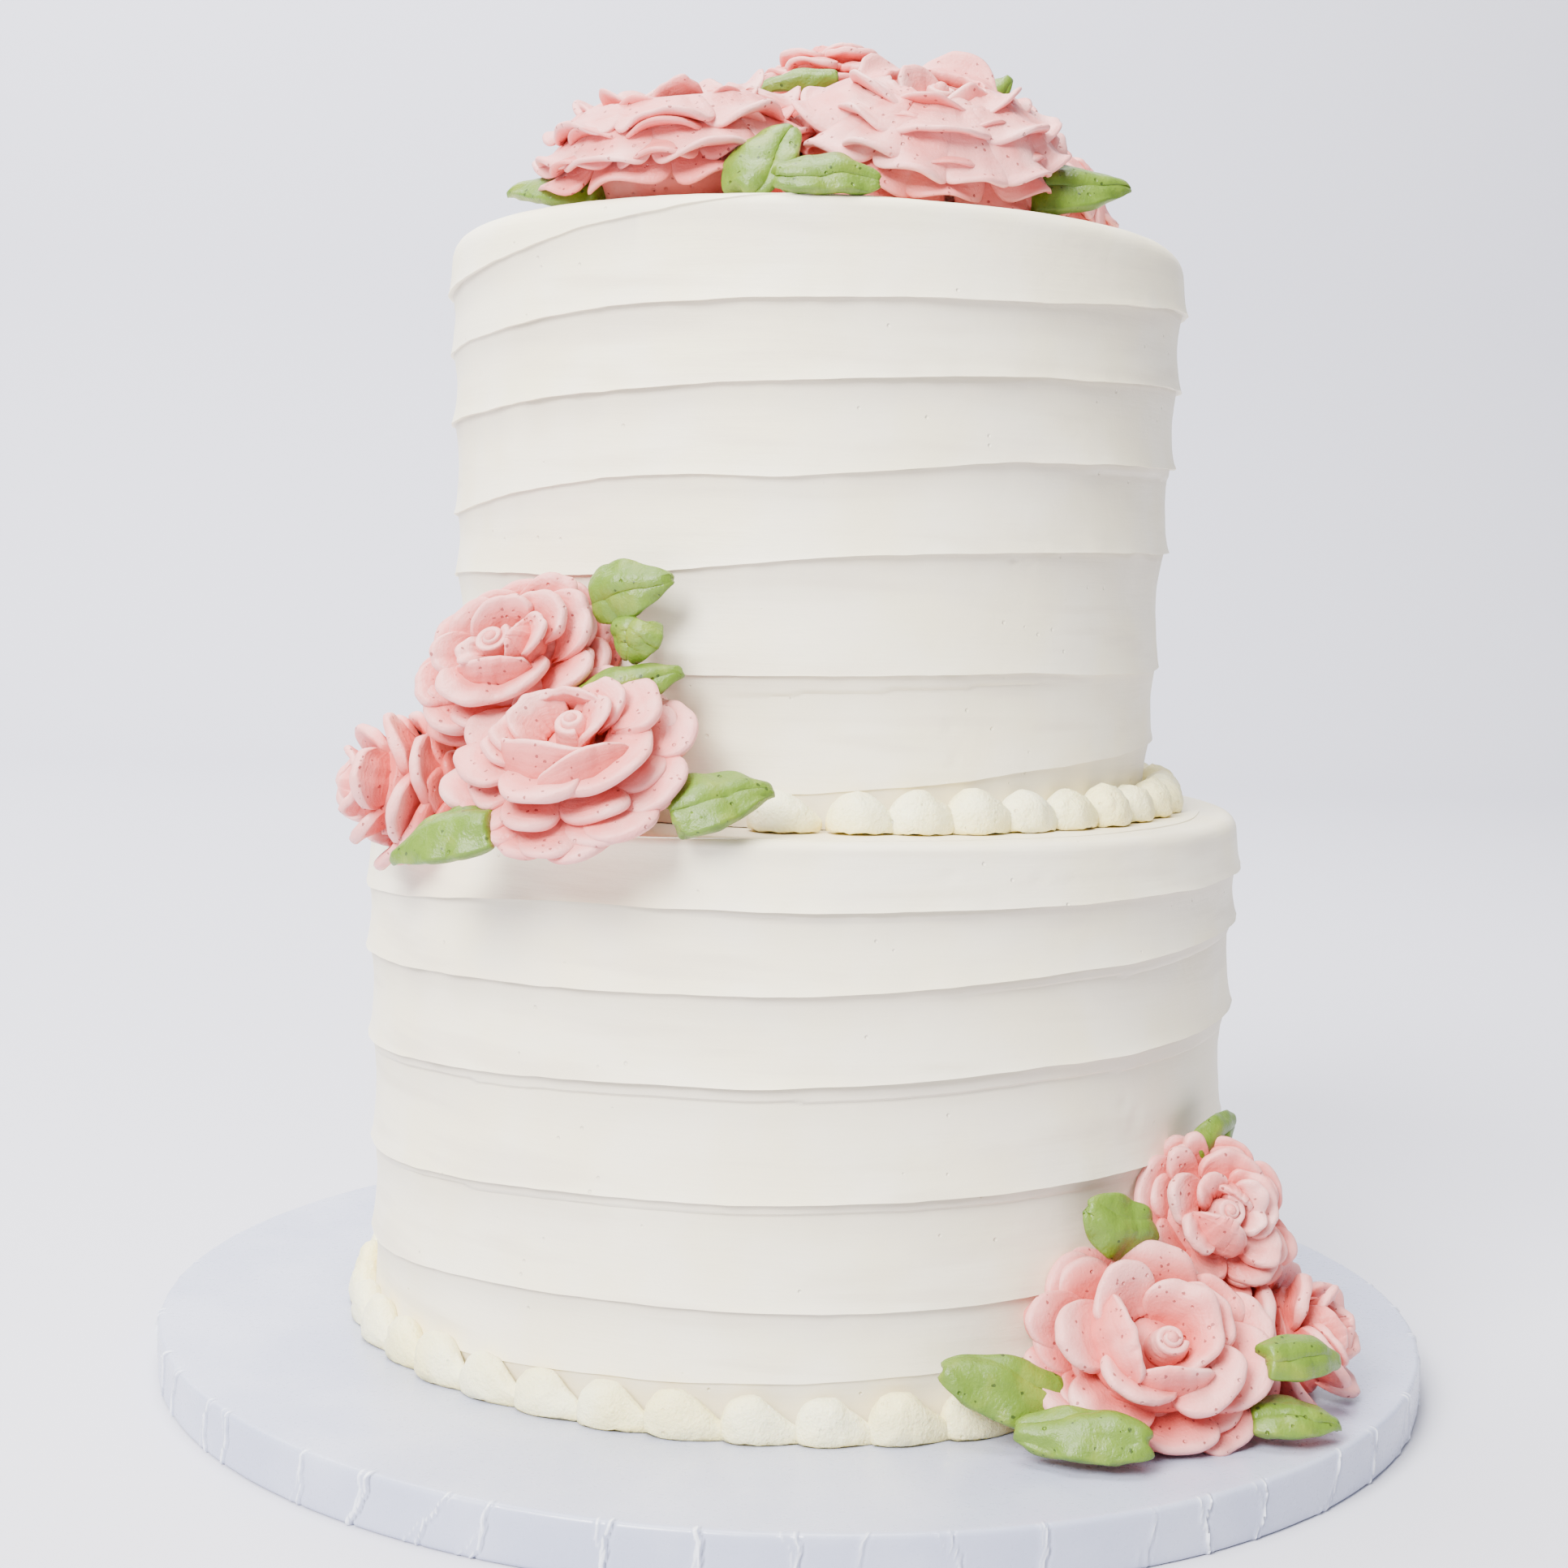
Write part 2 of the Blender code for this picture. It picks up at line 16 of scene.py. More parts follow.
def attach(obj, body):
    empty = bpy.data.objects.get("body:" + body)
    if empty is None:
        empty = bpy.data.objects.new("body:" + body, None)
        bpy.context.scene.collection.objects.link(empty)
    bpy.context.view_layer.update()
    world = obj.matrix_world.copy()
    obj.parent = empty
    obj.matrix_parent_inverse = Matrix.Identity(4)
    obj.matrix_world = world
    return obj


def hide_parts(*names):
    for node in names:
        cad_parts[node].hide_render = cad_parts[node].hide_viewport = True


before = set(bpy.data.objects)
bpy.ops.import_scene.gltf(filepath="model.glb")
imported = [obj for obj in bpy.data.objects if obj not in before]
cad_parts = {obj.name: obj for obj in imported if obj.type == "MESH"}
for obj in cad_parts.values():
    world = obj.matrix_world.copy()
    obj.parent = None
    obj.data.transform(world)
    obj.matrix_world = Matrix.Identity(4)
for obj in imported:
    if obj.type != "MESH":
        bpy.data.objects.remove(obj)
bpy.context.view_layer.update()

MM = 0.001
MERGE_DISTANCE = 1e-4

# Drum
DRUM_RADIUS = 152.5
DRUM_THICKNESS = 12.0
DRUM_EDGE = 1.2
DRUM_COLUMNS = 2160
DRUM_WEDGES = 36
DRUM_ROWS = 8
DRUM_TOP_RINGS = (0.0, 1.5, 5.0, 40.0, 90.0)
FOLD_COUNT = 52
FOLD_REACH = 0.06

# Tiers: the ridges climb to the right as one spiral. Each turn's entry gives the ridge's height at
# the bearings below, and then how proud it stands at the left, the front and the right. A ribbon is
# a second lip under a ridge: (turn, from, to, gap at each end, depth). A nick is a small tear:
# (bearing, height, size, depth).
RIDGE_BEARINGS = (-75, -30, 0, 30, 80)
PROUD_BEARINGS = (-80, 0, 80)
RIDGE_WAVER = ((0.40, 5), (0.16, 17))
PROUD_WAVER = ((0.35, 3), (0.30, 13))

# The mesh of a wall: columns round it, and rows above a lip, below the next one and between
WALL_COLUMNS = 384
WALL_WEDGES = 16
ROWS_ABOVE = (0.0, 0.12, 0.4, 0.9, 1.7, 2.9)
ROWS_BELOW = (5.6, 5.0, 4.4, 3.8, 3.2, 2.6, 2.0, 1.4, 0.8, 0.4, 0.15, 0.03)
ROWS_BETWEEN = 9
CROWDED_ABOVE = 0.2
CROWDED_BELOW = 0.4
TOP_RINGS = (0.75, 0.5, 0.25, 0.08)

# The icing between two lips: how fast each lip falls off, how it hangs over under the upper lip and
# leans out to the lower one, and how uneven it is
LIP_FALL = 2.6
LIP_SIZE = 1.15
UNDERCUT = 0.25
UNDERCUT_FALL = 1.8
RIBBON_FALL = 3.0
OVERHANG = 0.165
LEAN = 0.062
WOBBLE = 0.30
FINE_WOBBLE = 0.10
TOP_LIFT = 0.25
# Painted shade under each lip: how fast it fades down the band, the lip that casts it in full, and how
# much of it is left near the tier's top
SHADE_FALL = 0.34
FULL_LIP = 0.9
TOP_SHADE = 0.35

Tier = namedtuple("Tier", "name base top foot_radius head_radius shoulder side_shoulder "
                          "ridges ribbons nicks")

BOTTOM_TIER = Tier(
    name="bottom_tier",
    base=0.0,
    top=125.0,
    foot_radius=101.5,
    head_radius=105.0,
    shoulder=2.0,
    side_shoulder=1.5,
    ridges=(
        (-30, -24, -20, -16, -10, 0.3, 0.3, 0.3),
        (3, 9, 11.7, 14.8, 17, 0.1, 0.3, 0.2),
        (20, 25.9, 26.8, 27.9, 31, 0.4, 0.6, 0.4),
        (42, 48, 49.8, 51.3, 53, 0.5, 0.7, 0.5),
        (66.8, 72.3, 74.4, 77.3, 79.8, 0.6, 0.9, 0.9),
        (88.3, 91.7, 93.4, 96.8, 100.6, 0.6, 0.9, 0.9),
        (103.2, 109.7, 110.6, 111.8, 112.6, 0.4, 0.9, 0.8),
        (118, 123, 127, 130, 133, 0.3, 0.2, 0.2),
        (140, 144, 148, 150, 153, 0.0, 0.0, 0.0),
    ),
    ribbons=((4, -85, 85, 2.0, 4.4, 0.85), (3, -75, 50, 1.8, 2.6, 0.70), (5, 12, 88, 2.2, 3.2, 0.70),
             (6, -14, 24, 1.3, 1.6, 0.50)),
    nicks=((44, 66.5, 1.1, 0.7), (46.5, 63, 1.3, 0.8), (45.5, 60.5, 0.8, 0.6), (17, 118.5, 0.9, 0.5),
           (28, 117.5, 0.8, 0.5), (33, 117, 0.7, 0.4), (8, 119, 0.7, 0.5), (40, 119.5, 0.8, 0.4)),
)
TOP_TIER = Tier(
    name="top_tier",
    base=125.0,
    top=256.5,
    foot_radius=82.5,
    head_radius=87.5,
    shoulder=2.5,
    side_shoulder=4.5,
    ridges=(
        (104, 109, 112, 115, 118, 0.2, 0.2, 0.2),
        (125, 129.5, 132.7, 136.7, 141.7, 0.1, 0.15, 0.5),
        (153, 156.4, 157.7, 158.7, 158.8, 0.3, 0.5, 0.5),
        (176.7, 177.7, 182.1, 184.5, 185.8, 0.5, 0.7, 0.8),
        (190.8, 198.2, 199.4, 203.3, 205.5, 0.5, 0.6, 0.9),
        (211.7, 216.3, 218.9, 221.2, 223.4, 0.6, 0.9, 0.9),
        (228, 233.6, 235.6, 237.1, 241.1, 0.4, 0.9, 0.9),
        (241.8, 251.5, 258, 262, 266, 0.6, 0.3, 0.2),
        (270, 275, 278, 281, 284, 0.0, 0.0, 0.0),
    ),
    ribbons=((2, -14, 46, 4.4, 1.6, 0.60), (4, 40, 88, 1.6, 2.2, 0.45)),
    nicks=((31, 183, 0.8, 0.6), (33.5, 182, 0.6, 0.5), (22, 147, 0.9, 0.6), (24, 143.5, 0.8, 0.5),
           (22.5, 140, 0.7, 0.5), (36, 184.5, 0.7, 0.4), (9, 184, 0.6, 0.4), (18, 186, 0.6, 0.4)),
)

# Piped borders: round shells, each with a full head and a tail under its right-hand neighbour
SHELL_GRID = (28, 22)
SHELL_ROUGH = ((1.0, 2.4), (0.55, 5.5))
Border = namedtuple("Border", "name tier depth height bearings half_length tail seed")

BOTTOM_BORDER = Border("bottom_border", BOTTOM_TIER, 7.2, 9.8,
                       [23.1 - 8.6 * i for i in range(35)], 5.5, 1.0, 71)
TOP_BORDER = Border("top_border", TOP_TIER, 9.6, 8.9,
                    [-2.7] + [8.2 + 8.6 * i for i in range(33)], 5.2, 0.35, 72)

# Roses: where the middle of the outer petals' rims lies, the way the bud points, the radius, the
# dome's rise as a share of it, how deep the mound behind goes, how far the petals' rims arch up, and
# how the outer petals stand: 1 as deep cups, 0 as shallow ones, -1 hanging down the dome like
# shingles. Some roses have the bud off the middle of the face, or are longer along a lean.
Rose = namedtuple("Rose", "name bearing reach height faces tilt radius rise depth arch stand petals seed "
                          "bud stretch lean", defaults=((0.0, 0.0), 0.0, 0.0))

# Petals: the middle and the width in degrees round the rose's face, how far out the rim and the foot
# lie, and how far the rim's middle stands above the dome, in hundredths of the rose's radius
LOWER_FRONT_PETALS = (
    (183, 118, 24, 50, 6), (272, 104, 30, 52, 0), (10, 190, 47, 20, 2), (25, 90, 63, 38, -3),
    (123, 84, 60, 30, 4), (172, 78, 73, 42, 3), (238, 92, 60, 34, 6), (318, 88, 70, 34, 3),
    (340, 82, 88, 52, 0), (232, 68, 83, 48, 0), (130, 46, 98, 60, 6), (160, 46, 91, 58, 2),
    (192, 46, 97, 60, 2), (213, 34, 93, 60, -2), (14, 52, 96, 58, 2), (275, 56, 90, 54, 0),
    (307, 46, 97, 60, -3), (253, 36, 98, 60, -8), (82, 80, 80, 46, -6),
)
LOWER_UPPER_PETALS = (
    (118, 124, 12, 44, 5), (300, 120, 16, 34, 0), (5, 96, 43, 24, 3), (245, 125, 44, 22, 3),
    (38, 80, 70, 38, 6), (92, 66, 62, 34, 5), (252, 118, 62, 36, 1), (302, 112, 73, 44, 0),
    (200, 64, 74, 42, 2), (178, 60, 88, 50, 2), (215, 42, 103, 60, 0), (42, 82, 98, 60, 3),
    (3, 38, 83, 50, 2), (338, 26, 94, 55, 5), (130, 48, 82, 48, -2), (100, 46, 90, 52, -10),
    (262, 60, 96, 58, -4), (305, 50, 96, 58, -4),
)
MIDDLE_UPPER_PETALS = (
    (322, 130, 9, 36, 3), (337, 112, 43, 25, 3), (228, 118, 25, 46, 3), (165, 84, 39, 22, 3),
    (75, 112, 50, 26, 4), (232, 152, 69, 38, 5), (150, 62, 67, 40, 2), (108, 62, 70, 40, 0),
    (12, 98, 63, 38, 7), (350, 88, 83, 54, 5), (42, 56, 90, 54, 0), (300, 54, 89, 54, 3),
    (252, 64, 96, 58, 3), (202, 60, 97, 58, 3), (160, 56, 93, 54, 2), (120, 50, 88, 52, -2),
    (82, 50, 84, 50, -4), (325, 44, 98, 60, -6),
)
MIDDLE_FRONT_PETALS = (
    (265, 140, 33, 50, 3), (312, 84, 47, 62, 3), (88, 150, 26, 42, 0), (14, 104, 41, 26, 5),
    (50, 84, 54, 36, 6), (155, 120, 42, 24, 1), (192, 76, 52, 30, 0), (207, 46, 62, 40, 3),
    (338, 108, 79, 42, 5), (272, 78, 76, 42, 4), (36, 66, 79, 46, 11), (208, 52, 82, 46, 4),
    (28, 60, 100, 62, 7), (346, 54, 101, 62, 2), (320, 48, 100, 62, -6), (292, 52, 98, 62, -14),
    (256, 46, 97, 62, -14), (226, 48, 96, 60, -5), (85, 60, 82, 46, 0), (130, 60, 80, 46, 0),
    (172, 56, 84, 48, 0), (205, 40, 100, 60, -2),
)
SIDE_PETALS = (
    (0, 150, 20, 40, 0), (180, 150, 26, 40, -2), (75, 120, 46, 26, 0), (195, 120, 50, 28, -3),
    (315, 120, 48, 26, 2), (20, 100, 74, 42, 10), (110, 96, 78, 44, 2), (200, 100, 76, 42, 12),
    (285, 96, 80, 44, 6), (345, 84, 104, 58, 0), (60, 88, 100, 58, 6), (138, 84, 104, 58, -4),
    (215, 88, 102, 58, 2), (285, 84, 106, 58, -3), (30, 90, 104, 62, -26), (100, 90, 104, 62, -28),
    (180, 90, 102, 62, -28), (250, 90, 104, 62, -26), (320, 90, 104, 62, -28),
)
TOP_RIGHT_PETALS = (
    (300, 150, 24, 40, -5), (120, 150, 30, 16, -8), (250, 104, 50, 28, -2), (330, 96, 52, 30, -2),
    (200, 84, 62, 34, 4), (60, 100, 58, 34, 0), (130, 80, 66, 38, 0), (262, 82, 78, 40, 3),
    (312, 66, 80, 44, 3), (208, 56, 82, 44, 5), (345, 60, 84, 48, 1), (182, 52, 97, 54, 7),
    (228, 42, 94, 54, 2), (247, 42, 100, 60, 2), (275, 42, 102, 60, 3), (302, 42, 101, 60, 3),
    (328, 44, 98, 60, 1), (150, 60, 94, 56, 0), (90, 60, 92, 56, -2), (30, 60, 92, 58, -2),
    (0, 44, 96, 60, -2), (208, 40, 100, 60, 0),
)
TOP_LEFT_PETALS = (
    (150, 150, 22, 36, -12), (330, 150, 28, 16, -10), (100, 96, 46, 26, -9), (165, 90, 48, 28, -10),
    (250, 100, 48, 28, -10), (106, 60, 70, 38, 0), (154, 46, 72, 42, 2), (200, 60, 70, 42, 0),
    (60, 60, 66, 40, 2), (92, 44, 92, 56, 8), (132, 46, 93, 56, 5), (172, 44, 94, 56, 3),
    (206, 44, 92, 56, 2), (58, 44, 90, 54, 6), (98, 48, 100, 68, -8), (140, 44, 101, 68, -10),
    (178, 44, 101, 68, -10), (214, 44, 99, 66, -12), (64, 44, 99, 66, -4), (260, 60, 90, 56, 0),
    (310, 60, 90, 56, 0), (0, 60, 92, 56, 0), (240, 50, 99, 64, -12), (280, 60, 99, 64, -14),
    (330, 60, 99, 64, -14), (20, 60, 99, 64, -10),
)
ROUND_PETALS = (
    (40, 150, 26, 38, 2), (220, 150, 30, 18, 2), (0, 110, 50, 28, 2), (120, 110, 50, 28, 3),
    (240, 110, 51, 28, 2), (50, 76, 74, 42, 2), (122, 76, 75, 42, 3), (196, 76, 74, 42, 2),
    (268, 76, 76, 42, 3), (340, 76, 74, 42, 2), (18, 56, 98, 58, 1), (76, 56, 97, 58, 2),
    (136, 56, 99, 58, 0), (198, 56, 97, 58, 2), (254, 56, 99, 58, 1), (310, 56, 97, 58, 2),
)

ROSES = (
    Rose("rose_top_right", 26.5, 53, 271.5, 15, 62, 30.5, 0.54, 16, 0.14, -1, TOP_RIGHT_PETALS, 11,
         stretch=0.04),
    Rose("rose_top_left", -34, 57, 269.5, -45, 79, 31, 0.50, 15, 0.15, -1, TOP_LEFT_PETALS, 12,
         stretch=0.04),
    Rose("rose_top_middle", 160, 7, 293, 170, 80, 20, 0.50, 36, 0.06, -0.6, ROUND_PETALS, 13),
    Rose("rose_top_side", 90, 52, 269, 88, 45, 22, 0.55, 18, 0.08, -1, ROUND_PETALS, 14),
    Rose("rose_top_rear", 176, 40, 268, 178, 48, 23, 0.55, 18, 0.08, -1, ROUND_PETALS, 15),
    Rose("rose_top_far", -118, 42, 266, -118, 52, 20, 0.55, 16, 0.08, -1, ROUND_PETALS, 16),
    Rose("rose_middle_upper", -38, 101, 159.5, -10, 26, 20.5, 0.55, 20, 0.03, 0.2,
         MIDDLE_UPPER_PETALS, 21, bud=(-0.07, 0.09), stretch=0.14, lean=35),
    Rose("rose_middle_front", -26.5, 106, 138.5, -20, 50, 26, 0.55, 15, 0.05, -0.35,
         MIDDLE_FRONT_PETALS, 22, bud=(0.10, 0.02)),
    Rose("rose_middle_side", -54.5, 111, 130, -74, 6, 16, 0.60, 18, 0.17, 0.9, SIDE_PETALS, 23),
    Rose("rose_lower_upper", 54, 115, 40.5, 14, 24, 19, 0.55, 18, 0.03, 0.2, LOWER_UPPER_PETALS, 31,
         stretch=0.04, lean=120),
    Rose("rose_lower_front", 39.2, 120, 18, 10, 37, 27, 0.52, 26, 0.02, 0.1, LOWER_FRONT_PETALS, 32,
         bud=(0.05, -0.05), stretch=0.05),
    Rose("rose_lower_side", 60.5, 130, 12.5, 72, 22, 18, 0.60, 24, 0.15, 0.9, SIDE_PETALS, 33),
)
DOME_REACHES = (0.0, 0.28, 0.57, 0.82, 1.0, 1.15)
DOME_RISES = (1.02, 0.94, 0.76, 0.40, 0.0, -0.45)
PETAL_GRID = (22, 8)
PETAL_FOOT_THICK = 3.2
RIM_THIN = 1.7
RIM_THICK = 2.5
BUD_GRID = (66, 8)
BUD_TURNS = 1.9
BUD_REACH = 3.1
CORE_GRID = (12, 8)
CORE_REACH = 1.7
HEART_GRID = (40, 26)
HEART_REACH = 0.66

# Low petals that fill up a rose under its rims: how far out the rim and the foot lie, how far above
# the dome the rim stands, and how many there are. The first rows go under hanging petals and the
# second under shallow ones. A collar of more rows goes down the mound; a low petal is left out where
# its rim would be buried deeper than this in the drum.
FILL_ROWS = ((0.62, 0.34, -0.10, 6), (0.86, 0.50, -0.10, 8), (0.96, 0.60, -0.20, 9),
             (0.96, 0.60, -0.36, 8))
SKIRT_ROWS = ((0.84, 0.50, -0.12, 8), (0.96, 0.56, -0.13, 9))
FILL_GRID = (12, 4)
FILL_SPAN = 430
# How much painted light the low fill petals keep: they are painted in shade, as they lie under the rims
FILL_PAINTED_LIGHT = 0.72
COLLAR_STEP = 0.27
BURIED = 3.0

# Leaves: base and tip as (bearing, reach, height), the way the upper face looks, the width, how
# round the free end is, where across the leaf its crest runs and how much its edges ripple
Leaf = namedtuple("Leaf", "name base tip faces tilt width round_end crest ripple seed")

LEAVES = (
    Leaf("leaf_top_left", (-40, 72, 258), (-61, 79.5, 261), -38, 55, 12, 0, 0.1, 0.5, 41),
    Leaf("leaf_top_right", (40, 68, 261), (59, 80, 265.5), 40, 45, 14, 0, 0.2, 0.4, 42),
    Leaf("leaf_top_standing", (-12, 80, 256.5), (-5, 70.5, 271.5), -18, 32, 14.5, 0.5, -0.15, 0.3, 43),
    Leaf("leaf_top_front", (-6.5, 82.5, 259), (8.5, 82.5, 259), 5, 42, 11, 0.8, 0.1, 0.5, 44),
    Leaf("leaf_top_middle", (8, 26, 290.5), (-34, 31, 286.5), -8, 30, 5.4, 0, 0.2, 0.9, 45),
    Leaf("leaf_top_peak", (95, 36, 286), (99, 45.5, 298.5), 0, 15, 7, 0, 0.0, 0.3, 46),
    Leaf("leaf_top_back", (155, 52, 260), (150, 78, 262), 155, 75, 14, 0, 0.1, 0.8, 47),
    Leaf("leaf_middle_high", (-29, 91, 172.5), (-18, 91, 177), -22, 10, 13, 0, 0.15, 0.7, 51),
    Leaf("leaf_middle_fold", (-21.5, 92, 167.5), (-23, 94, 160), -20, 15, 11.5, 0.2, 0.3, 0.5, 52),
    Leaf("leaf_middle_right", (-28, 101, 147.5), (-16, 92.5, 158), -15, 30, 12, 0, 0.3, 0.5, 53),
    Leaf("leaf_middle_ledge", (-14.2, 109, 129), (-3.5, 100, 134.5), -8, 45, 15, 0, 0.25, 0.9, 54),
    Leaf("leaf_middle_rim", (-30.4, 122, 125.5), (-41.5, 127, 117.5), -30, 40, 13, 0, -0.2, 0.5, 55),
    Leaf("leaf_lower_high", (54.5, 107, 52), (65, 109, 58), 48, 10, 10, 0.3, 0.3, 0.4, 61),
    Leaf("leaf_lower_wall", (44, 109, 37.5), (35.4, 107, 47), 15, 15, 14, 0.8, -0.25, 0.6, 62),
    Leaf("leaf_lower_left", (30.5, 116, 6.5), (17, 108, 16), 20, 30, 14, 0.7, -0.3, 0.7, 63),
    Leaf("leaf_lower_front", (32.5, 137, 5.5), (23, 120, 5.5), 20, 42, 12, 0.8, -0.35, 0.8, 64),
    Leaf("leaf_lower_right", (46, 138, 17), (54, 145, 14), 30, 40, 10, 0.1, 0.35, 0.5, 65),
    Leaf("leaf_lower_tip", (45, 137, 4.5), (51, 150, 3), 40, 60, 11, 0, 0.0, 0.5, 66),
)
LEAF_GRID = (16, 18)
LEAF_THICKNESS = 4.2
FULL_LEAF_WIDTH = 9
LEAF_ARCH = 2.0
LEAF_RIDGES = 0.4
LEAF_ROOF = 2.6
LEAF_VEIN_PLACE = -0.3

# Colours, from 0 to 255
WALL_PALE = (251, 243, 220)
WALL_WARM = (249, 239, 208)
WALL_SHADE = (230, 218, 194)
# Painted shade down the wall under each lip, and a painted shadow line right under the lip
WALL_PAINTED_SHADE = (212, 202, 184)
WALL_PAINTED_LIP_SHADOW = (176, 168, 142)
SHELL_PALE = (252, 246, 208)
SHELL_WARM = (250, 239, 182)
# Painted shade on the shells' undersides and thin tails
SHELL_PAINTED_SHADE = (244, 220, 112)
# Painted light on the petals' rims and dome
ROSE_PAINTED_RIM_LIGHT = (233, 162, 157)
ROSE_MID = (226, 129, 123)
ROSE_MILKY = (238, 186, 180)
# Painted shade in the creases and on the petals' undersides
ROSE_PAINTED_CREASE_SHADE = (206, 88, 80)
ROSE_SPECK = (128, 40, 42)
LEAF_PALE = (136, 149, 46)
LEAF_MID = (99, 127, 34)
# Painted shade on the leaves' undersides and away from their lit ridges, and the deeper green of the drag
# lines
LEAF_SHADE_AND_STREAK = (68, 96, 20)
LEAF_SPECK = (26, 44, 12)
FOIL_COOL = (170, 176, 202)
FOIL_PALE = (184, 189, 211)
# Painted shade in the grooves beside the foil's folds, and a painted glint on their ridges
FOIL_PAINTED_FOLD_SHADE = (128, 132, 152)
FOIL_PAINTED_GLINT = (236, 239, 250)
STAGE = (204, 204, 215)
SPECK_RAGGED = 1400
SPECK_DARK = 0.75

# The room, in metres: lamps as (name, place, aim, size, power, colour), the backdrop, and the camera
# as the cake's three circles fix it
LAMPS = (
    ("window", (-0.95, -1.55, 1.5), (0, 0, 0.15), (1.0, 1.0), 160, (1.0, 0.985, 0.94)),
    ("ceiling", (-0.2, -0.1, 1.9), (0, 0, 0.1), (1.2, 1.2), 66, (1.0, 0.985, 0.95)),
    ("fill", (1.6, -1.4, 0.5), (0, 0, 0.16), (1.6, 1.6), 2, (1.0, 0.98, 0.96)),
    ("back_wash", (-1.0, 1.0, 2.0), (-0.7, 2.1, 0.8), (2.2, 0.7), 112, (0.98, 0.98, 1.0)),
)
ROOM_LIGHT = (0.93, 0.95, 1.0, 1.0)
ROOM_STRENGTH = 0.45
FLOOR_REACH = 12.0
FLOOR_DEPTH = 1.6
BACKDROP_BEND = 0.5
BACKDROP_STEPS = 12
BACKDROP_TOP = 3.2
CAMERA_PLACE = (0, -0.5969, 0.1934)
CAMERA_PITCH = 0.0905
CAMERA_YAW = -0.008
CAMERA_ROLL = 0.0277
SENSOR_WIDTH = 36
FOCAL_LENGTH = 56.3


def on_cake(bearing, reach, height):
    """The point at a bearing, a distance from the cake's axis and a height above the drum."""
    angle = math.radians(bearing)
    return Vector((reach * math.sin(angle), -reach * math.cos(angle), DRUM_THICKNESS + height)) * MM


def on_ring(bearing, rise):
    """A place on a ring of radius 1, to read unevenness at."""
    angle = math.radians(bearing)
    return Vector((math.sin(angle), math.cos(angle), rise))


def facing(bearing, tilt):
    """The unit vector that looks out at a bearing, tilted up by some degrees."""
    angle = math.radians(bearing)
    rise = math.radians(tilt)
    return Vector((math.cos(rise) * math.sin(angle), -math.cos(rise) * math.cos(angle), math.sin(rise)))


def held(share):
    """Keep a share between 0 and 1."""
    return min(max(share, 0.0), 1.0)


def bearing_of(co):
    """The bearing of a point."""
    return math.degrees(math.atan2(co.x, -co.y))


def between(knots, values, place):
    """Read a smooth curve through the values at some knots, at one place."""
    last = len(knots) - 2
    i = min(max(sum(1 for knot in knots if knot <= place) - 1, 0), last)
    span = knots[i + 1] - knots[i]
    slopes = []
    for k in (i, i + 1):
        low = max(k - 1, 0)
        high = min(k + 1, last + 1)
        slopes.append((values[high] - values[low]) / (knots[high] - knots[low]) * span)
    t = held((place - knots[i]) / span)
    return ((2 * t ** 3 - 3 * t ** 2 + 1) * values[i] + (t ** 3 - 2 * t ** 2 + t) * slopes[0]
            + (3 * t ** 2 - 2 * t ** 3) * values[i + 1] + (t ** 3 - t ** 2) * slopes[1])


def polar(reach, angle, height):
    """The point at a distance from an axis, an angle round it and a height."""
    return Vector((reach * math.cos(angle), reach * math.sin(angle), height))


def waver(place, layers):
    """Unevenness at a place, in layers of (size, fineness)."""
    return sum(size * noise.noise(place * fineness) for size, fineness in layers)


def add_ball(bm, grid, radius, turn=Matrix()):
    """The points of a new ball, to form into something."""
    segments, rings = grid
    return bmesh.ops.create_uvsphere(bm, u_segments=segments, v_segments=rings, radius=radius,
                                     matrix=turn)["verts"]


def open_edges(bm):
    """The edges that have a face on one side only."""
    return [edge for edge in bm.edges if edge.is_boundary]


def points_of(made):
    """The points among the things that an operator made."""
    return [item for item in made if isinstance(item, bmesh.types.BMVert)]


def spin_finely(bm, steps, wedges, climb):
    """Spin a line into a full turn: a wedge is spun, then copied round. It may climb as a screw."""
    wedge = (1 / wedges, steps // wedges, False)
    others = (1 - 1 / wedges, wedges - 1, True)
    for turns, count, copied in (wedge, others):
        geom = bm.verts[:] + bm.edges[:] + bm.faces[:]
        bmesh.ops.spin(bm, geom=geom, cent=(0, 0, 0), axis=(0, 0, 1), angle=math.tau * turns, steps=count,
                       dvec=(0, 0, climb * turns / count), use_merge=False, use_duplicate=copied)
    bmesh.ops.remove_doubles(bm, verts=bm.verts, dist=MERGE_DISTANCE)


def draw_in(vert, factor):
    """Move a point towards the axis, or away from it."""
    vert.co.x *= factor
    vert.co.y *= factor


def smooth_mesh(name, bm, material):
    """Turn a built form into a smooth mesh of one material."""
    mesh = bpy.data.meshes.new(name)
    bm.to_mesh(mesh)
    bm.free()
    mesh.shade_smooth()
    mesh.materials.append(material)
    return mesh


def place_object(name, data):
    """Put a mesh, a lamp or a camera into the scene as an object."""
    thing = bpy.data.objects.new(name, data)
    bpy.context.scene.collection.objects.link(thing)
    return thing


def add_piece(name, bm, material, node, sharp_degrees=None, smoothing=0):
    """Finish a form as a named piece that stands for a CAD node."""
    mesh = smooth_mesh(name, bm, material)
    if sharp_degrees:
        mesh.set_sharp_from_angle(angle=math.radians(sharp_degrees))
    piece = place_object(name, mesh)
    if smoothing:
        subdivision = piece.modifiers.new("smooth", "SUBSURF")
        subdivision.levels = smoothing
        subdivision.render_levels = smoothing
    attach(piece, "root")
    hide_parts(node)
    return piece


# Materials

def linear(colour):
    """Turn an sRGB colour from 0 to 255 into linear light."""
    shares = [channel / 255 for channel in colour]
    return [s / 12.92 if s <= 0.04045 else ((s + 0.055) / 1.055) ** 2.4 for s in shares] + [1.0]


def set_inputs(node, values):
    """Give some of a node's inputs values of their own."""
    for label, value in values.items():
        node.inputs[label].default_value = value


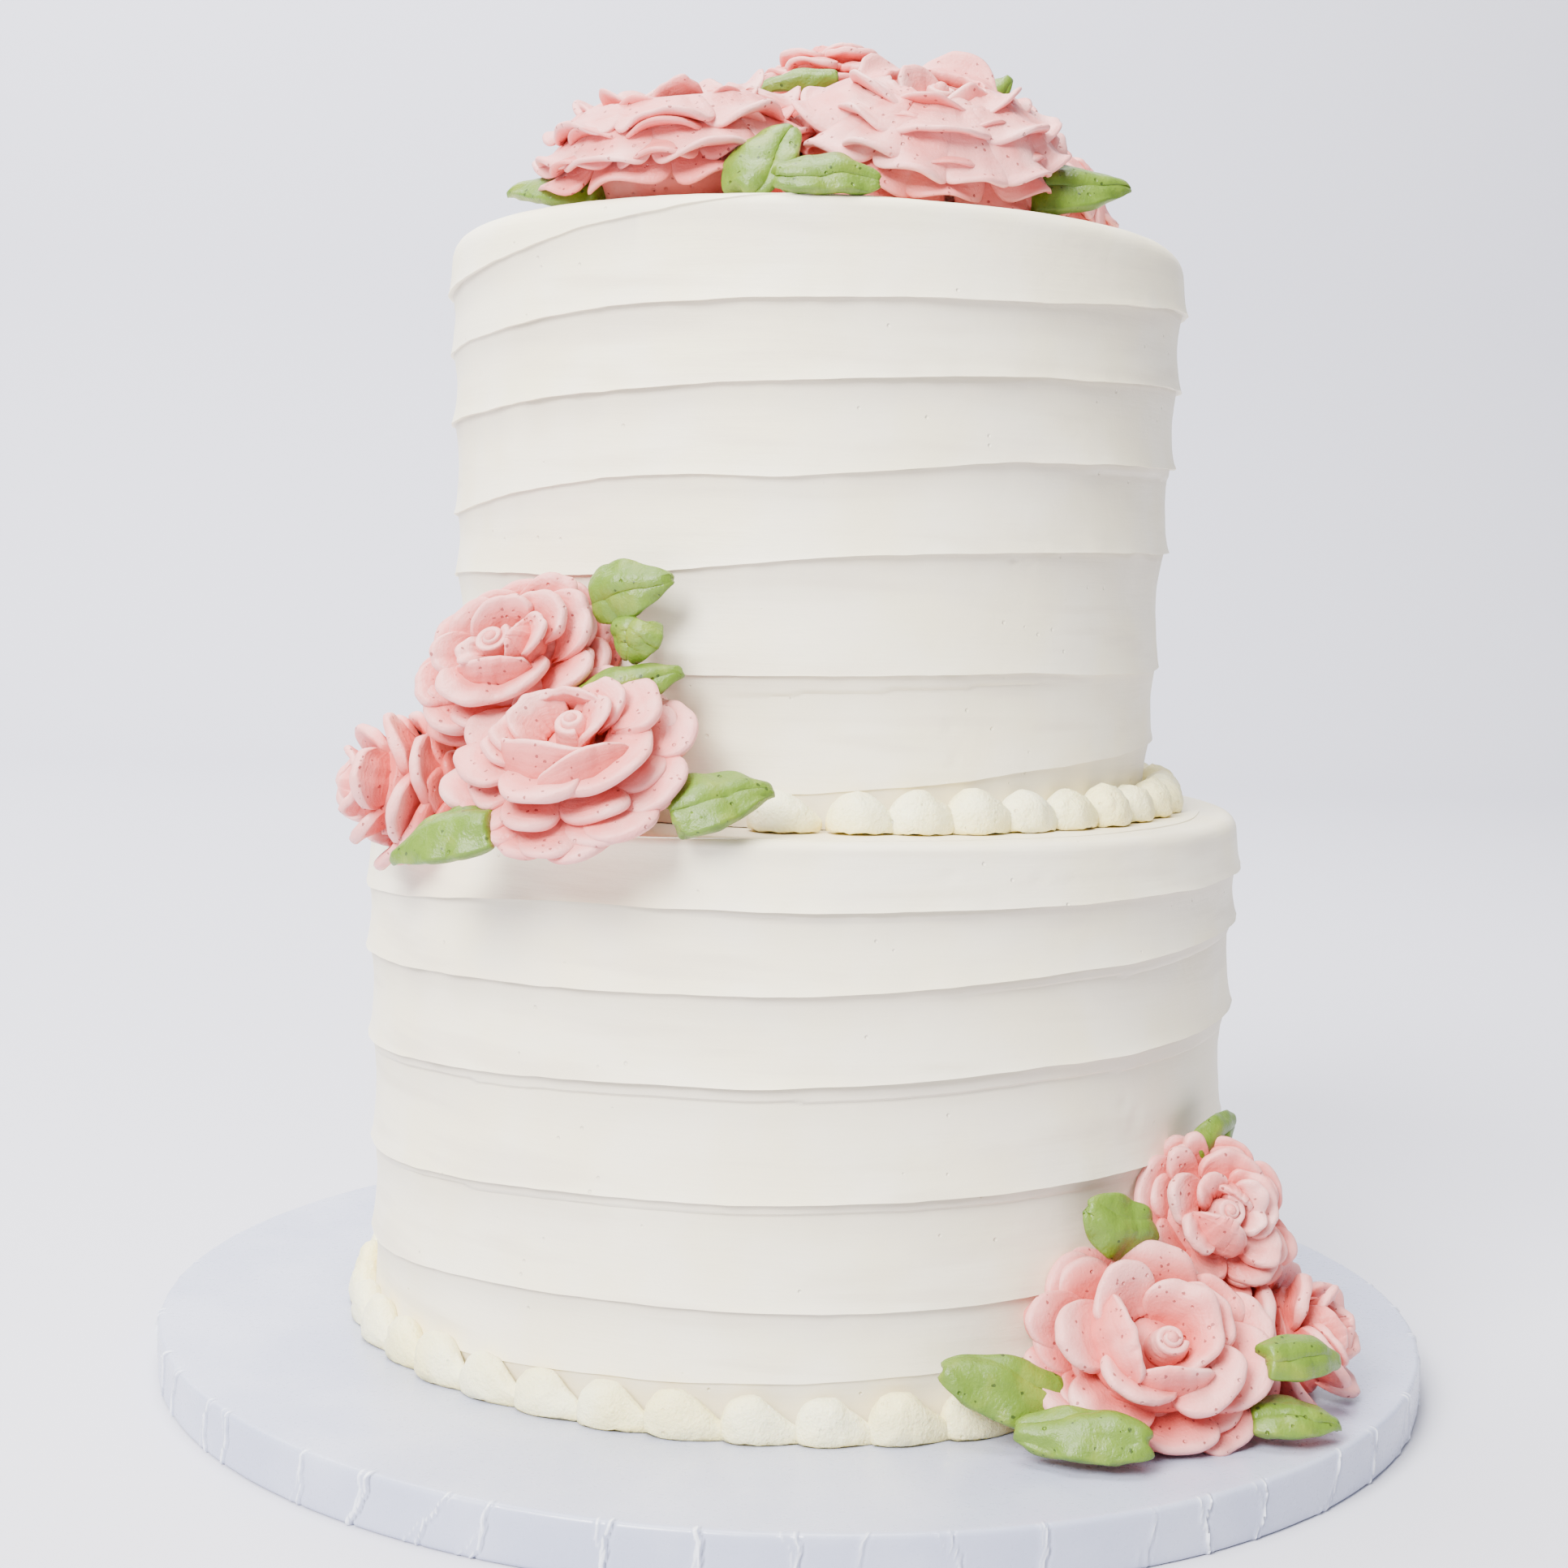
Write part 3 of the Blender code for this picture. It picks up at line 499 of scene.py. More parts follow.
class Nodes:
    """A short hand for building a node tree."""

    def __init__(self, tree):
        self.tree = tree

    def add(self, kind, **settings):
        node = self.tree.nodes.new(kind)
        for key, value in settings.items():
            setattr(node, key, value)
        return node

    def link(self, start, end):
        self.tree.links.new(start, end)

    def feed(self, socket, value):
        """Give a socket a value of its own, or link it to another node."""
        if isinstance(value, bpy.types.NodeSocket):
            self.link(value, socket)
        else:
            socket.default_value = value

    def attribute(self, name):
        return self.add("ShaderNodeAttribute", attribute_name=name).outputs["Fac"]

    def noise(self, coordinates, scale, detail=3.0, roughness=0.5):
        node = self.add("ShaderNodeTexNoise")
        set_inputs(node, {"Scale": scale, "Detail": detail, "Roughness": roughness})
        self.link(coordinates, node.inputs["Vector"])
        return node.outputs["Fac"]

    def stretch(self, coordinates, scale):
        node = self.add("ShaderNodeMapping")
        set_inputs(node, {"Scale": scale})
        self.link(coordinates, node.inputs["Vector"])
        return node.outputs["Vector"]

    def spread(self, value, low, high, to_low=0.0, to_high=1.0):
        node = self.add("ShaderNodeMapRange", interpolation_type="SMOOTHSTEP")
        set_inputs(node, {"From Min": low, "From Max": high, "To Min": to_low, "To Max": to_high})
        self.link(value, node.inputs["Value"])
        return node.outputs["Result"]

    def combine(self, operation, first, second):
        node = self.add("ShaderNodeMath", operation=operation)
        for socket, value in zip(node.inputs, (first, second)):
            self.feed(socket, value)
        return node.outputs["Value"]

    def cells(self, coordinates, scale):
        """Cells of about one size: the distance from a cell's middle, and each cell's own numbers."""
        node = self.add("ShaderNodeTexVoronoi")
        self.link(coordinates, node.inputs["Vector"])
        self.feed(node.inputs["Scale"], scale)
        split = self.add("ShaderNodeSeparateColor")
        self.link(node.outputs["Color"], split.inputs["Color"])
        return node.outputs["Distance"], split.outputs

    def pile(self, height, value, share):
        """Add a share of a value to a height."""
        return self.combine("ADD", height, self.combine("MULTIPLY", value, share))

    def blend(self, share, first, second):
        node = self.add("ShaderNodeMix", data_type="RGBA")
        self.link(share, node.inputs["Factor"])
        for socket, value in zip(node.inputs[6:8], (first, second)):
            self.feed(socket, value)
        return node.outputs[2]

    def tint(self, tone, colour, value, low, high, least=0.0, most=1.0):
        """Blend a colour into a tone where a value goes from low to high."""
        return self.blend(self.spread(value, low, high, least, most), tone, linear(colour))


def make_group(name, inputs, outputs):
    """Start a shader node group with number inputs and named outputs."""
    group = bpy.data.node_groups.new(name, "ShaderNodeTree")
    for label, value in inputs.items():
        kind = "NodeSocketVector" if value is None else "NodeSocketFloat"
        socket = group.interface.new_socket(name=label, in_out="INPUT", socket_type=kind)
        if value is not None:
            socket.default_value = value
    for label in outputs:
        group.interface.new_socket(name=label, in_out="OUTPUT", socket_type="NodeSocketFloat")
    nodes = Nodes(group)
    start = nodes.add("NodeGroupInput")
    end = nodes.add("NodeGroupOutput")
    return group, nodes, start, end


def make_specks_group():
    """Scattered specks: a mask that is 1 in each small speck, and irregular in outline."""
    group, nodes, start, end = make_group(
        "scattered_specks", {"Vector": None, "Spacing": 400.0, "Size": 0.12, "Share": 0.4}, ("Mask",))
    place = start.outputs["Vector"]
    distance, colour = nodes.cells(place, start.outputs["Spacing"])
    ragged = nodes.spread(nodes.noise(place, SPECK_RAGGED, 2.0), 0.3, 0.7, 0.5, 1.4)
    size = nodes.combine("MULTIPLY", start.outputs["Size"], ragged)
    inside = nodes.combine("LESS_THAN", distance, size)
    chosen = nodes.combine("LESS_THAN", colour["Red"], start.outputs["Share"])
    nodes.link(nodes.combine("MULTIPLY", inside, chosen), end.inputs["Mask"])
    return group


def make_cream_group():
    """The skin of whipped icing: soft lumps, fine grain and small burst air bubbles in groups."""
    group, nodes, start, end = make_group(
        "cream_skin", {"Vector": None, "Lumps": 0.6, "Grain": 0.25, "Bubbles": 0.5, "Share": 0.12},
        ("Height", "Mottle"))
    place = start.outputs["Vector"]
    lumps = nodes.noise(place, 220, 3.0, 0.55)
    grain = nodes.noise(place, 1500, 2.0, 0.6)
    distance, colour = nodes.cells(place, 400)
    hollow = nodes.spread(distance, 0.08, 0.20, 1.0, 0.0)
    groups = nodes.spread(nodes.noise(place, 28, 2.0), 0.42, 0.62, 0.3, 3.0)
    share = nodes.combine("MULTIPLY", start.outputs["Share"], groups)
    few = nodes.combine("LESS_THAN", colour["Green"], share)
    burst = nodes.combine("MULTIPLY", hollow, few)
    height = nodes.combine("MULTIPLY", lumps, start.outputs["Lumps"])
    height = nodes.pile(height, grain, start.outputs["Grain"])
    height = nodes.combine("SUBTRACT", height, nodes.combine("MULTIPLY", burst, start.outputs["Bubbles"]))
    nodes.link(height, end.inputs["Height"])
    nodes.link(nodes.noise(place, 45, 2.0), end.inputs["Mottle"])
    return group


def start_material(name):
    """A new material with its Principled shader and the piece's own coordinates."""
    material = bpy.data.materials.new(name)
    material.use_nodes = True
    nodes = Nodes(material.node_tree)
    shader = material.node_tree.nodes["Principled BSDF"]
    coordinates = nodes.add("ShaderNodeTexCoord").outputs["Object"]
    return material, nodes, shader, coordinates


def place_group(nodes, group, coordinates, **values):
    """Place a node group and set its own values."""
    node = nodes.add("ShaderNodeGroup")
    node.node_tree = group
    nodes.link(coordinates, node.inputs["Vector"])
    set_inputs(node, values)
    return node


def bump(nodes, shader, height, distance, strength=1.0):
    """Feed a height into the shader's normal."""
    node = nodes.add("ShaderNodeBump")
    set_inputs(node, {"Distance": distance, "Strength": strength})
    nodes.link(height, node.inputs["Height"])
    nodes.link(node.outputs["Normal"], shader.inputs["Normal"])


def set_cream(shader, roughness, scatter, radius):
    """The values that every icing shares in kind: a soft sheen and a little light inside."""
    set_inputs(shader, {"Roughness": roughness, "Specular IOR Level": 0.42, "Subsurface Weight": scatter,
                        "Subsurface Radius": radius, "Subsurface Scale": 0.0012})


def make_wall_icing(cream):
    """Smoothed white icing, with drag streaks that run round the wall, and painted shade under each lip
    with a painted shadow line right beneath it.
    """
    material, nodes, shader, coordinates = start_material("smoothed_icing")
    skin = place_group(nodes, cream, coordinates, Lumps=0.5, Grain=0.10, Bubbles=2.6, Share=0.03)
    streaks = nodes.noise(nodes.stretch(coordinates, (0.06, 0.06, 1.0)), 900, 4.0, 0.6)
    broad = nodes.noise(nodes.stretch(coordinates, (0.12, 0.12, 1.0)), 160, 2.0)
    bump(nodes, shader, nodes.pile(skin.outputs["Height"], streaks, 0.35), 0.0005, 0.5)
    shade = nodes.attribute("shade")
    tone = nodes.tint(linear(WALL_WARM), WALL_PALE, skin.outputs["Mottle"], 0.35, 0.65)
    tone = nodes.tint(tone, WALL_SHADE, broad, 0.50, 0.75, 0.0, 0.6)
    # Painted shade under each lip from the shade attribute, and a painted shadow line right under it
    tone = nodes.tint(tone, WALL_PAINTED_SHADE, shade, 0.0, 1.0, 0.0, 0.82)
    tone = nodes.tint(tone, WALL_PAINTED_LIP_SHADOW, shade, 0.88, 0.98, 0.0, 0.35)
    nodes.link(tone, shader.inputs["Base Color"])
    set_cream(shader, 0.50, 0.0, (1.0, 0.8, 0.55))
    return material


def make_shell_icing(cream):
    """Piped white icing, a little yellow where it is thick, with painted shade in a deeper yellow on each
    shell's underside and thin tail.
    """
    material, nodes, shader, coordinates = start_material("border_icing")
    skin = place_group(nodes, cream, coordinates, Lumps=1.5, Grain=0.5, Bubbles=0.6)
    bump(nodes, shader, skin.outputs["Height"], 0.0010, 0.7)
    tone = nodes.tint(linear(SHELL_WARM), SHELL_PALE, skin.outputs["Mottle"], 0.35, 0.65)
    # Painted shade in a deeper yellow on each shell's underside and tail, where the rim attribute is low
    tone = nodes.tint(tone, SHELL_PAINTED_SHADE, nodes.attribute("rim"), 0.0, 0.42, 0.95, 0.0)
    nodes.link(tone, shader.inputs["Base Color"])
    set_cream(shader, 0.48, 0.35, (1.0, 0.85, 0.55))
    return material


def make_strokes(nodes):
    """The drag lines that a nozzle leaves along a petal or a leaf."""
    stroke = nodes.add("ShaderNodeAttribute", attribute_name="stroke").outputs["Vector"]
    return nodes.noise(stroke, 0.8, 2.0, 0.6)


def make_rose_icing(cream, specks):
    """Pink icing: painted light on the rims and painted shade in the creases and on the undersides, drag
    lines, milky smears, dark specks and burst bubbles.
    """
    material, nodes, shader, coordinates = start_material("petal_icing")
    skin = place_group(nodes, cream, coordinates, Lumps=0.55, Grain=0.22, Bubbles=1.6, Share=0.16)
    dark = place_group(nodes, specks, coordinates, Spacing=560.0, Size=0.19, Share=0.34).outputs["Mask"]
    strokes = make_strokes(nodes)
    height = nodes.pile(skin.outputs["Height"], strokes, 0.35)
    bump(nodes, shader, nodes.pile(height, dark, -0.35), 0.0009, 0.7)
    patches = nodes.spread(skin.outputs["Mottle"], 0.3, 0.7, -0.12, 0.12)
    lines = nodes.spread(strokes, 0.3, 0.7, -0.04, 0.04)
    # The rim attribute is painted light: pale rims and dome, with painted shade in the creases and on the
    # undersides, mixed with random patches
    painted_light_and_patches = nodes.combine("ADD", nodes.combine("ADD", nodes.attribute("rim"), patches), lines)
    tone = nodes.tint(linear(ROSE_PAINTED_CREASE_SHADE), ROSE_MID, painted_light_and_patches, 0.05, 0.70)
    tone = nodes.tint(tone, ROSE_PAINTED_RIM_LIGHT, painted_light_and_patches, 0.62, 1.05)
    smears = nodes.spread(nodes.noise(coordinates, 75, 2.0, 0.4), 0.52, 0.70, 0.0, 0.7)
    tone = nodes.blend(nodes.combine("MULTIPLY", smears, painted_light_and_patches), tone, linear(ROSE_MILKY))
    tone = nodes.blend(nodes.combine("MULTIPLY", dark, SPECK_DARK), tone, linear(ROSE_SPECK))
    nodes.link(tone, shader.inputs["Base Color"])
    set_cream(shader, 0.46, 0.12, (1.0, 0.45, 0.35))
    return material


def make_leaf_icing(cream, specks):
    """Green icing: a yellow cast in patches, drag lines, dark specks, a soft gloss, and painted light on
    the ridges with painted shade on the undersides.
    """
    material, nodes, shader, coordinates = start_material("green_icing")
    skin = place_group(nodes, cream, coordinates, Lumps=0.55, Grain=0.25, Bubbles=1.8, Share=0.16)
    dark = place_group(nodes, specks, coordinates, Spacing=520.0, Size=0.19, Share=0.30).outputs["Mask"]
    strokes = make_strokes(nodes)
    height = nodes.pile(skin.outputs["Height"], strokes, 0.30)
    bump(nodes, shader, nodes.pile(height, dark, -0.5), 0.0009, 0.7)
    # The rim attribute is painted light on the leaves: lit ridges and crest, painted shade on the
    # underside
    tone = nodes.tint(linear(LEAF_SHADE_AND_STREAK), LEAF_MID, nodes.attribute("rim"), 0.0, 0.7)
    tone = nodes.tint(tone, LEAF_PALE, nodes.noise(coordinates, 150, 2.0), 0.48, 0.75, 0.0, 0.5)
    # Deeper green along the low parts of the drag lines
    tone = nodes.tint(tone, LEAF_SHADE_AND_STREAK, strokes, 0.35, 0.70, 0.25, 0.0)
    tone = nodes.blend(nodes.combine("MULTIPLY", dark, SPECK_DARK), tone, linear(LEAF_SPECK))
    nodes.link(tone, shader.inputs["Base Color"])
    set_cream(shader, 0.40, 0.10, (0.7, 1.0, 0.4))
    return material


def make_drum_foil():
    """Bluish-white satin foil over board, with a painted glint on its folds and painted shade beside
    them.
    """
    material, nodes, shader, coordinates = start_material("drum_foil")
    fold = nodes.attribute("fold")
    tone = nodes.tint(linear(FOIL_COOL), FOIL_PALE, nodes.noise(coordinates, 30, 3.0), 0.35, 0.7)
    # Painted glint on the foil's folds and painted shade in the grooves beside them, from the fold's
    # height
    tone = nodes.tint(tone, FOIL_PAINTED_GLINT, fold, 0.15, 0.8, 0.0, 0.9)
    tone = nodes.tint(tone, FOIL_PAINTED_FOLD_SHADE, fold, -0.8, -0.15, 0.8, 0.0)
    nodes.link(tone, shader.inputs["Base Color"])
    grain = nodes.noise(coordinates, 700, 3.0, 0.6)
    nodes.link(nodes.spread(grain, 0.3, 0.7, 0.26, 0.36), shader.inputs["Roughness"])
    crinkle = nodes.noise(coordinates, 260, 4.0, 0.6)
    bump(nodes, shader, nodes.pile(crinkle, grain, 0.2), 0.0003, 0.25)
    set_inputs(shader, {"Specular IOR Level": 0.6, "Metallic": 0.0, "Coat Weight": 0.25,
                        "Coat Roughness": 0.25})
    return material


def make_stage_paint():
    """The plain pale floor and backdrop."""
    material, _, shader, _ = start_material("stage_paint")
    set_inputs(shader, {"Base Color": linear(STAGE), "Roughness": 0.9, "Specular IOR Level": 0.1})
    return material


# Tiers

def along_spiral(tier, turned, bearings, first):
    """A value of the ridges after a number of degrees turned from the first front, and its place."""
    knots = [360 * turn + bearing for turn in range(len(tier.ridges)) for bearing in bearings]
    values = [value for ridge in tier.ridges for value in ridge[first:first + len(bearings)]]
    return between(knots, values, turned), on_ring(turned, turned / 360)


def ridge_height(tier, turned):
    """Height of the spiral ridge."""
    height, place = along_spiral(tier, turned, RIDGE_BEARINGS, 0)
    return height + waver(place, RIDGE_WAVER)


def ridge_proud(tier, turned):
    """How far the spiral ridge stands out."""
    proud, place = along_spiral(tier, turned, PROUD_BEARINGS, len(RIDGE_BEARINGS))
    return max(LIP_SIZE * proud * (1 + waver(place, PROUD_WAVER)), 0.0)


def wall_radius(tier, height):
    """Radius of a tier's wall, without its relief."""
    share = (height - tier.base) / (tier.top - tier.base)
    return tier.foot_radius + (tier.head_radius - tier.foot_radius) * share


def ribbon_step(tier, turn, bearing, below):
    """The second, lower lip that some ridges have: how far the icing steps in under it."""
    step = 0.0
    for ridge, start, end, start_gap, end_gap, depth in tier.ribbons:
        if ridge == turn and start < bearing < end:
            share = (bearing - start) / (end - start)
            gap = start_gap + (end_gap - start_gap) * share
            fade = min(1.0, 6 * share, 6 * (1 - share))
            if below > gap:
                step += depth * fade * math.exp(-(below - gap) / RIBBON_FALL)
    return step


def nick_depth(tier, bearing, height):
    """Small tears and burst bubbles in the icing."""
    depth = 0.0
    for place, level, size, deep in tier.nicks:
        across = math.radians(bearing - place) * wall_radius(tier, height)
        away = math.hypot(across, height - level) / size
        if away < 2.0:
            depth += deep * math.exp(-away * away)
    return depth


def shoulder_size(tier, bearing):
    """Radius of the rounded shoulder, which is softer at the sides than at the front."""
    return tier.shoulder + tier.side_shoulder * math.sin(math.radians(bearing)) ** 2


def wall_point(tier, bearing, level, proud):
    """A point up the wall, over the rounded shoulder and on to the tier's top."""
    size = shoulder_size(tier, bearing)
    head = tier.top - size
    if level <= head:
        return on_cake(bearing, wall_radius(tier, level) + proud, level)
    arc = (level - head) / size
    reach = wall_radius(tier, head) - size
    lift = TOP_LIFT * noise.noise(on_ring(bearing, level / 9))
    if arc < math.pi / 2:
        full = size + proud * (1 - arc / math.pi)
        return on_cake(bearing, reach + full * math.cos(arc), tier.top - size + full * math.sin(arc))
    inward = (arc - math.pi / 2) * size
    return on_cake(bearing, reach - inward, tier.top + proud / 2 + lift * min(inward / 6, 1))


def row_levels():
    """Where a band's rows lie: (from the lower ridge, from the upper ridge, share) for each row."""
    rows = [(above, None) for above in ROWS_ABOVE]
    rows += [(None, (i + 1) / (ROWS_BETWEEN + 1)) for i in range(ROWS_BETWEEN)]
    return rows + [(None, -below) for below in ROWS_BELOW]


def row_level(row, low, high):
    """Height of one of a band's rows."""
    above, rest = row
    if above is not None:
        return low + min(above, CROWDED_ABOVE * (high - low))
    if rest > 0:
        bottom = low + min(ROWS_ABOVE[-1], CROWDED_ABOVE * (high - low))
        top = high - min(ROWS_BELOW[0], CROWDED_BELOW * (high - low))
        return bottom + (top - bottom) * rest
    return high + rest * min(1.0, CROWDED_BELOW * (high - low) / ROWS_BELOW[0])


def spread_relief(tier, turn, bearing, low, high, level, lips):
    """How proud the icing stands at a place in the band between two ridges."""
    above = level - low
    below = high - level
    band = max(high - low, 1.0)
    around = math.radians(bearing)

    # The wall hangs over under the upper lip, and leans out again to the lower one
    share = held(below / band)
    upper = min(share, 0.5)
    hollow = (OVERHANG + LEAN) * upper ** 2 - OVERHANG * upper + LEAN * (share - upper)
    hollow *= band * (1 + 0.35 * math.sin(around) ** 2)
    place = Vector((2.2 * math.sin(around), 2.2 * math.cos(around), level / 14))
    wobble = WOBBLE * noise.noise(place) + FINE_WOBBLE * noise.noise(place * 3.1 + Vector((5, 5, 5)))
    relief = lips[0] * math.exp(-above / LIP_FALL) + hollow + wobble
    relief -= UNDERCUT * lips[1] * math.exp(-below / UNDERCUT_FALL)
    relief -= ribbon_step(tier, turn + 1, bearing, below)
    return relief - nick_depth(tier, bearing, level)


def shade_under(tier, bearing, low, high, level, lip):
    """From 1 right under a lip to 0 lower down the band: how much less light the icing gets."""
    share = max(high - level, 0.0) / max(high - low, 1.0)
    shade = math.exp(-share / SHADE_FALL) * (0.40 + 0.60 * min(lip / FULL_LIP, 1.0))
    shade *= 1 + 0.30 * noise.noise(on_ring(bearing, level / 60) * 2.6)
    if high > tier.top - 4:
        shade *= TOP_SHADE
    return min(shade, 1.0)


def spread_tier(tier, material):
    """Ice one tier: a row of points is spun up the wall as a screw, one band for each turn."""
    rows = row_levels()
    bands = len(tier.ridges) - 1
    bm = bmesh.new()
    relief_layer = bm.verts.layers.float.new("relief")
    # The shade attribute holds the painted shade under each lip, for the wall's colour
    shade_layer = bm.verts.layers.float.new("shade")
    column = [bm.verts.new((0, 1, 0)), bm.verts.new((0, 1, bands))]
    line = bm.edges.new(column)
    bmesh.ops.subdivide_edges(bm, edges=[line], cuts=bands * len(rows) - 1)
    spin_finely(bm, WALL_COLUMNS, WALL_WEDGES, 1.0)

    # First each point goes to its height along the spiral, and the rows past the ends are cut off
    lips = {}
    heights = {}
    placed = {}
    for vert in bm.verts:
        bearing = round(bearing_of(vert.co), 4)
        rise = round((vert.co.z - (bearing + 180) / 360) * len(rows))
        turn, row = divmod(rise, len(rows))
        for key in ((turn, bearing), (turn + 1, bearing)):
            if key not in heights:
                heights[key] = ridge_height(tier, 360 * key[0] + bearing)
                lips[key] = ridge_proud(tier, 360 * key[0] + bearing)
        low = heights[(turn, bearing)]
        high = heights[(turn + 1, bearing)]
        level = row_level(rows[row], low, high)
        relief = spread_relief(tier, turn, bearing, low, high, level,
                               (lips[(turn, bearing)], lips[(turn + 1, bearing)]))
        shade = shade_under(tier, bearing, low, high, level, lips[(turn + 1, bearing)])
        placed[vert] = (level, relief, shade)
    for vert, (level, relief, shade) in placed.items():
        vert[relief_layer] = relief
        vert[shade_layer] = shade
        vert.co.z = level
    ends = ((tier.base + 0.2, (0, 0, -1)), (tier.top + 8.0, (0, 0, 1)))
    for level, outwards in ends:
        geom = bm.verts[:] + bm.edges[:] + bm.faces[:]
        bmesh.ops.bisect_plane(bm, geom=geom, plane_co=(0, 0, level), plane_no=outwards, clear_outer=True)

    # Then it goes to its place on the wall, the shoulder or the top
    for vert in bm.verts:
        vert.co = wall_point(tier, bearing_of(vert.co), vert.co.z, vert[relief_layer])
    near_top = (DRUM_THICKNESS + tier.top - 5) * MM
    upper = [edge for edge in open_edges(bm) if edge.verts[0].co.z > near_top]
    for inwards in TOP_RINGS:
        start = max(math.hypot(edge.verts[0].co.x, edge.verts[0].co.y) for edge in upper)
        made = bmesh.ops.extrude_edge_only(bm, edges=upper)["geom"]
        upper = [item for item in made if isinstance(item, bmesh.types.BMEdge)]
        target = inwards * tier.head_radius * MM
        for vert in points_of(made):
            draw_in(vert, target / start)
            lift = noise.noise(Vector((vert.co.x * 30, vert.co.y * 30, 1.0)))
            vert.co.z = (DRUM_THICKNESS + tier.top + 0.3 * lift) * MM
    bmesh.ops.holes_fill(bm, edges=open_edges(bm), sides=0)
    bmesh.ops.recalc_face_normals(bm, faces=bm.faces)
    add_piece(tier.name + "_icing", bm, material, tier.name, sharp_degrees=42)


# Borders

def pipe_shell(bm, border, bearing, inner, painted_light_layer, draw):
    """One piped shell: a round head that draws out into a tail."""
    size = 1 + draw.uniform(-0.06, 0.06)
    long = border.half_length * (1 + draw.uniform(-0.05, 0.05))
    lean = draw.uniform(-0.04, 0.04)
    for vert in add_ball(bm, SHELL_GRID, 1, Matrix.Rotation(math.pi / 2, 4, "Y")):
        along, out, up = vert.co
        share = (along + 1) / 2
        round_part = math.sqrt(max(1 - along * along, 1e-6))
        swell = math.sin(math.pi * min(share, 0.999) ** (1 - 0.40 * border.tail))
        swell **= 0.50 + 0.15 * border.tail
        tail = border.tail * max(share - 0.45, 0) / 0.55
        swell *= 1 - 0.52 * tail
        out *= swell / round_part
        up *= swell / round_part
        rough = waver(Vector((along + bearing, out, up)), SHELL_ROUGH)
        lift = max(up, -0.25) * (1 - 0.20 * tail) + 0.09 * rough
        reach = inner + border.depth * size * (0.44 + 0.56 * out + 0.10 * tail + lean * up) + 0.4 * rough
        risen = max((0.22 + 0.78 * lift) - 0.10 * tail, 0)
        height = border.tier.base + 0.2 + border.height * size * risen
        turned = bearing + long * (along + 0.10 * border.tail)
        # Painted light: full on the shell's top, falling off on its underside and in the thin tail under
        # the next shell
        vert[painted_light_layer] = held(0.5 + 0.8 * up) * (0.35 + 0.65 * swell)
        vert.co = on_cake(turned, reach, height)


def pipe_border(border, material):
    """A row of piped shells round the foot of a tier."""
    draw = random.Random(border.seed)
    inner = wall_radius(border.tier, border.tier.base + border.height / 2) - 0.5
    bm = bmesh.new()
    painted_light_layer = bm.verts.layers.float.new("rim")
    for bearing in border.bearings:
        pipe_shell(bm, border, bearing, inner, painted_light_layer, draw)
    bmesh.ops.recalc_face_normals(bm, faces=bm.faces)
    add_piece(border.name + "_shells", bm, material, border.name)


# Roses

def rose_frame(rose):
    """The rose's own frame: +Z is the way the bud points, and the rose is longer along its lean."""
    turn = facing(rose.faces, rose.tilt).to_track_quat("Z", "Y").to_matrix().to_4x4()
    lean = Matrix.Rotation(math.radians(rose.lean), 4, "Z")
    longer = Matrix.Diagonal((1 + rose.stretch, 1 - rose.stretch, 1, 1))
    place = Matrix.Translation(on_cake(rose.bearing, rose.reach, rose.height))
    return place @ turn @ lean @ longer @ Matrix.Scale(rose.radius * MM, 4)


def add_strip(bm, across, up):
    """A flat closed block, from -1 to 1 across and 0 to 1 up, to bend into a petal or a leaf."""
    flat = bmesh.ops.create_grid(bm, x_segments=across, y_segments=up, size=1)
    faces = list({face for vert in flat["verts"] for face in vert.link_faces})
    raised = points_of(bmesh.ops.extrude_face_region(bm, geom=faces)["geom"])
    bmesh.ops.translate(bm, verts=raised, vec=(0, 0, 1))
    bmesh.ops.reverse_faces(bm, faces=faces)
    strip = flat["verts"] + raised
    for vert in strip:
        vert.co.y = (vert.co.y + 1) / 2
    return strip


def bend_strip(strip, surface, thickness, painted_light_layer, painted_light, stroke_layer, stroke_place):
    """Bend a flat block on to a surface, with a thickness that follows the surface."""
    step = 0.01
    for vert in strip:
        u, v, side = vert.co
        here = surface(u, v)
        along = surface(u + step, v) - surface(u - step, v)
        up = surface(u, v + step) - surface(u, v - step)
        normal = along.cross(up).normalized()
        vert[stroke_layer] = stroke_place(u, v, side)
        vert.co = here + normal * (side - 0.5) * thickness(u, v)
        vert[painted_light_layer] = painted_light(vert.co, u, v, side)


def dome_height(reach):
    """Height of the rose's dome at a distance from its middle, as a share of its rise."""
    return between(DOME_REACHES, DOME_RISES, reach)


def in_crease(rose, co):
    """From 0 deep between the petals to 1 at the rose's dome, as painted shade in the creases."""
    under = rose.rise * dome_height(math.hypot(co.x, co.y)) - co.z
    return held(1 - (2.5 + 1.25 * min(rose.stand, 0.0)) * under)


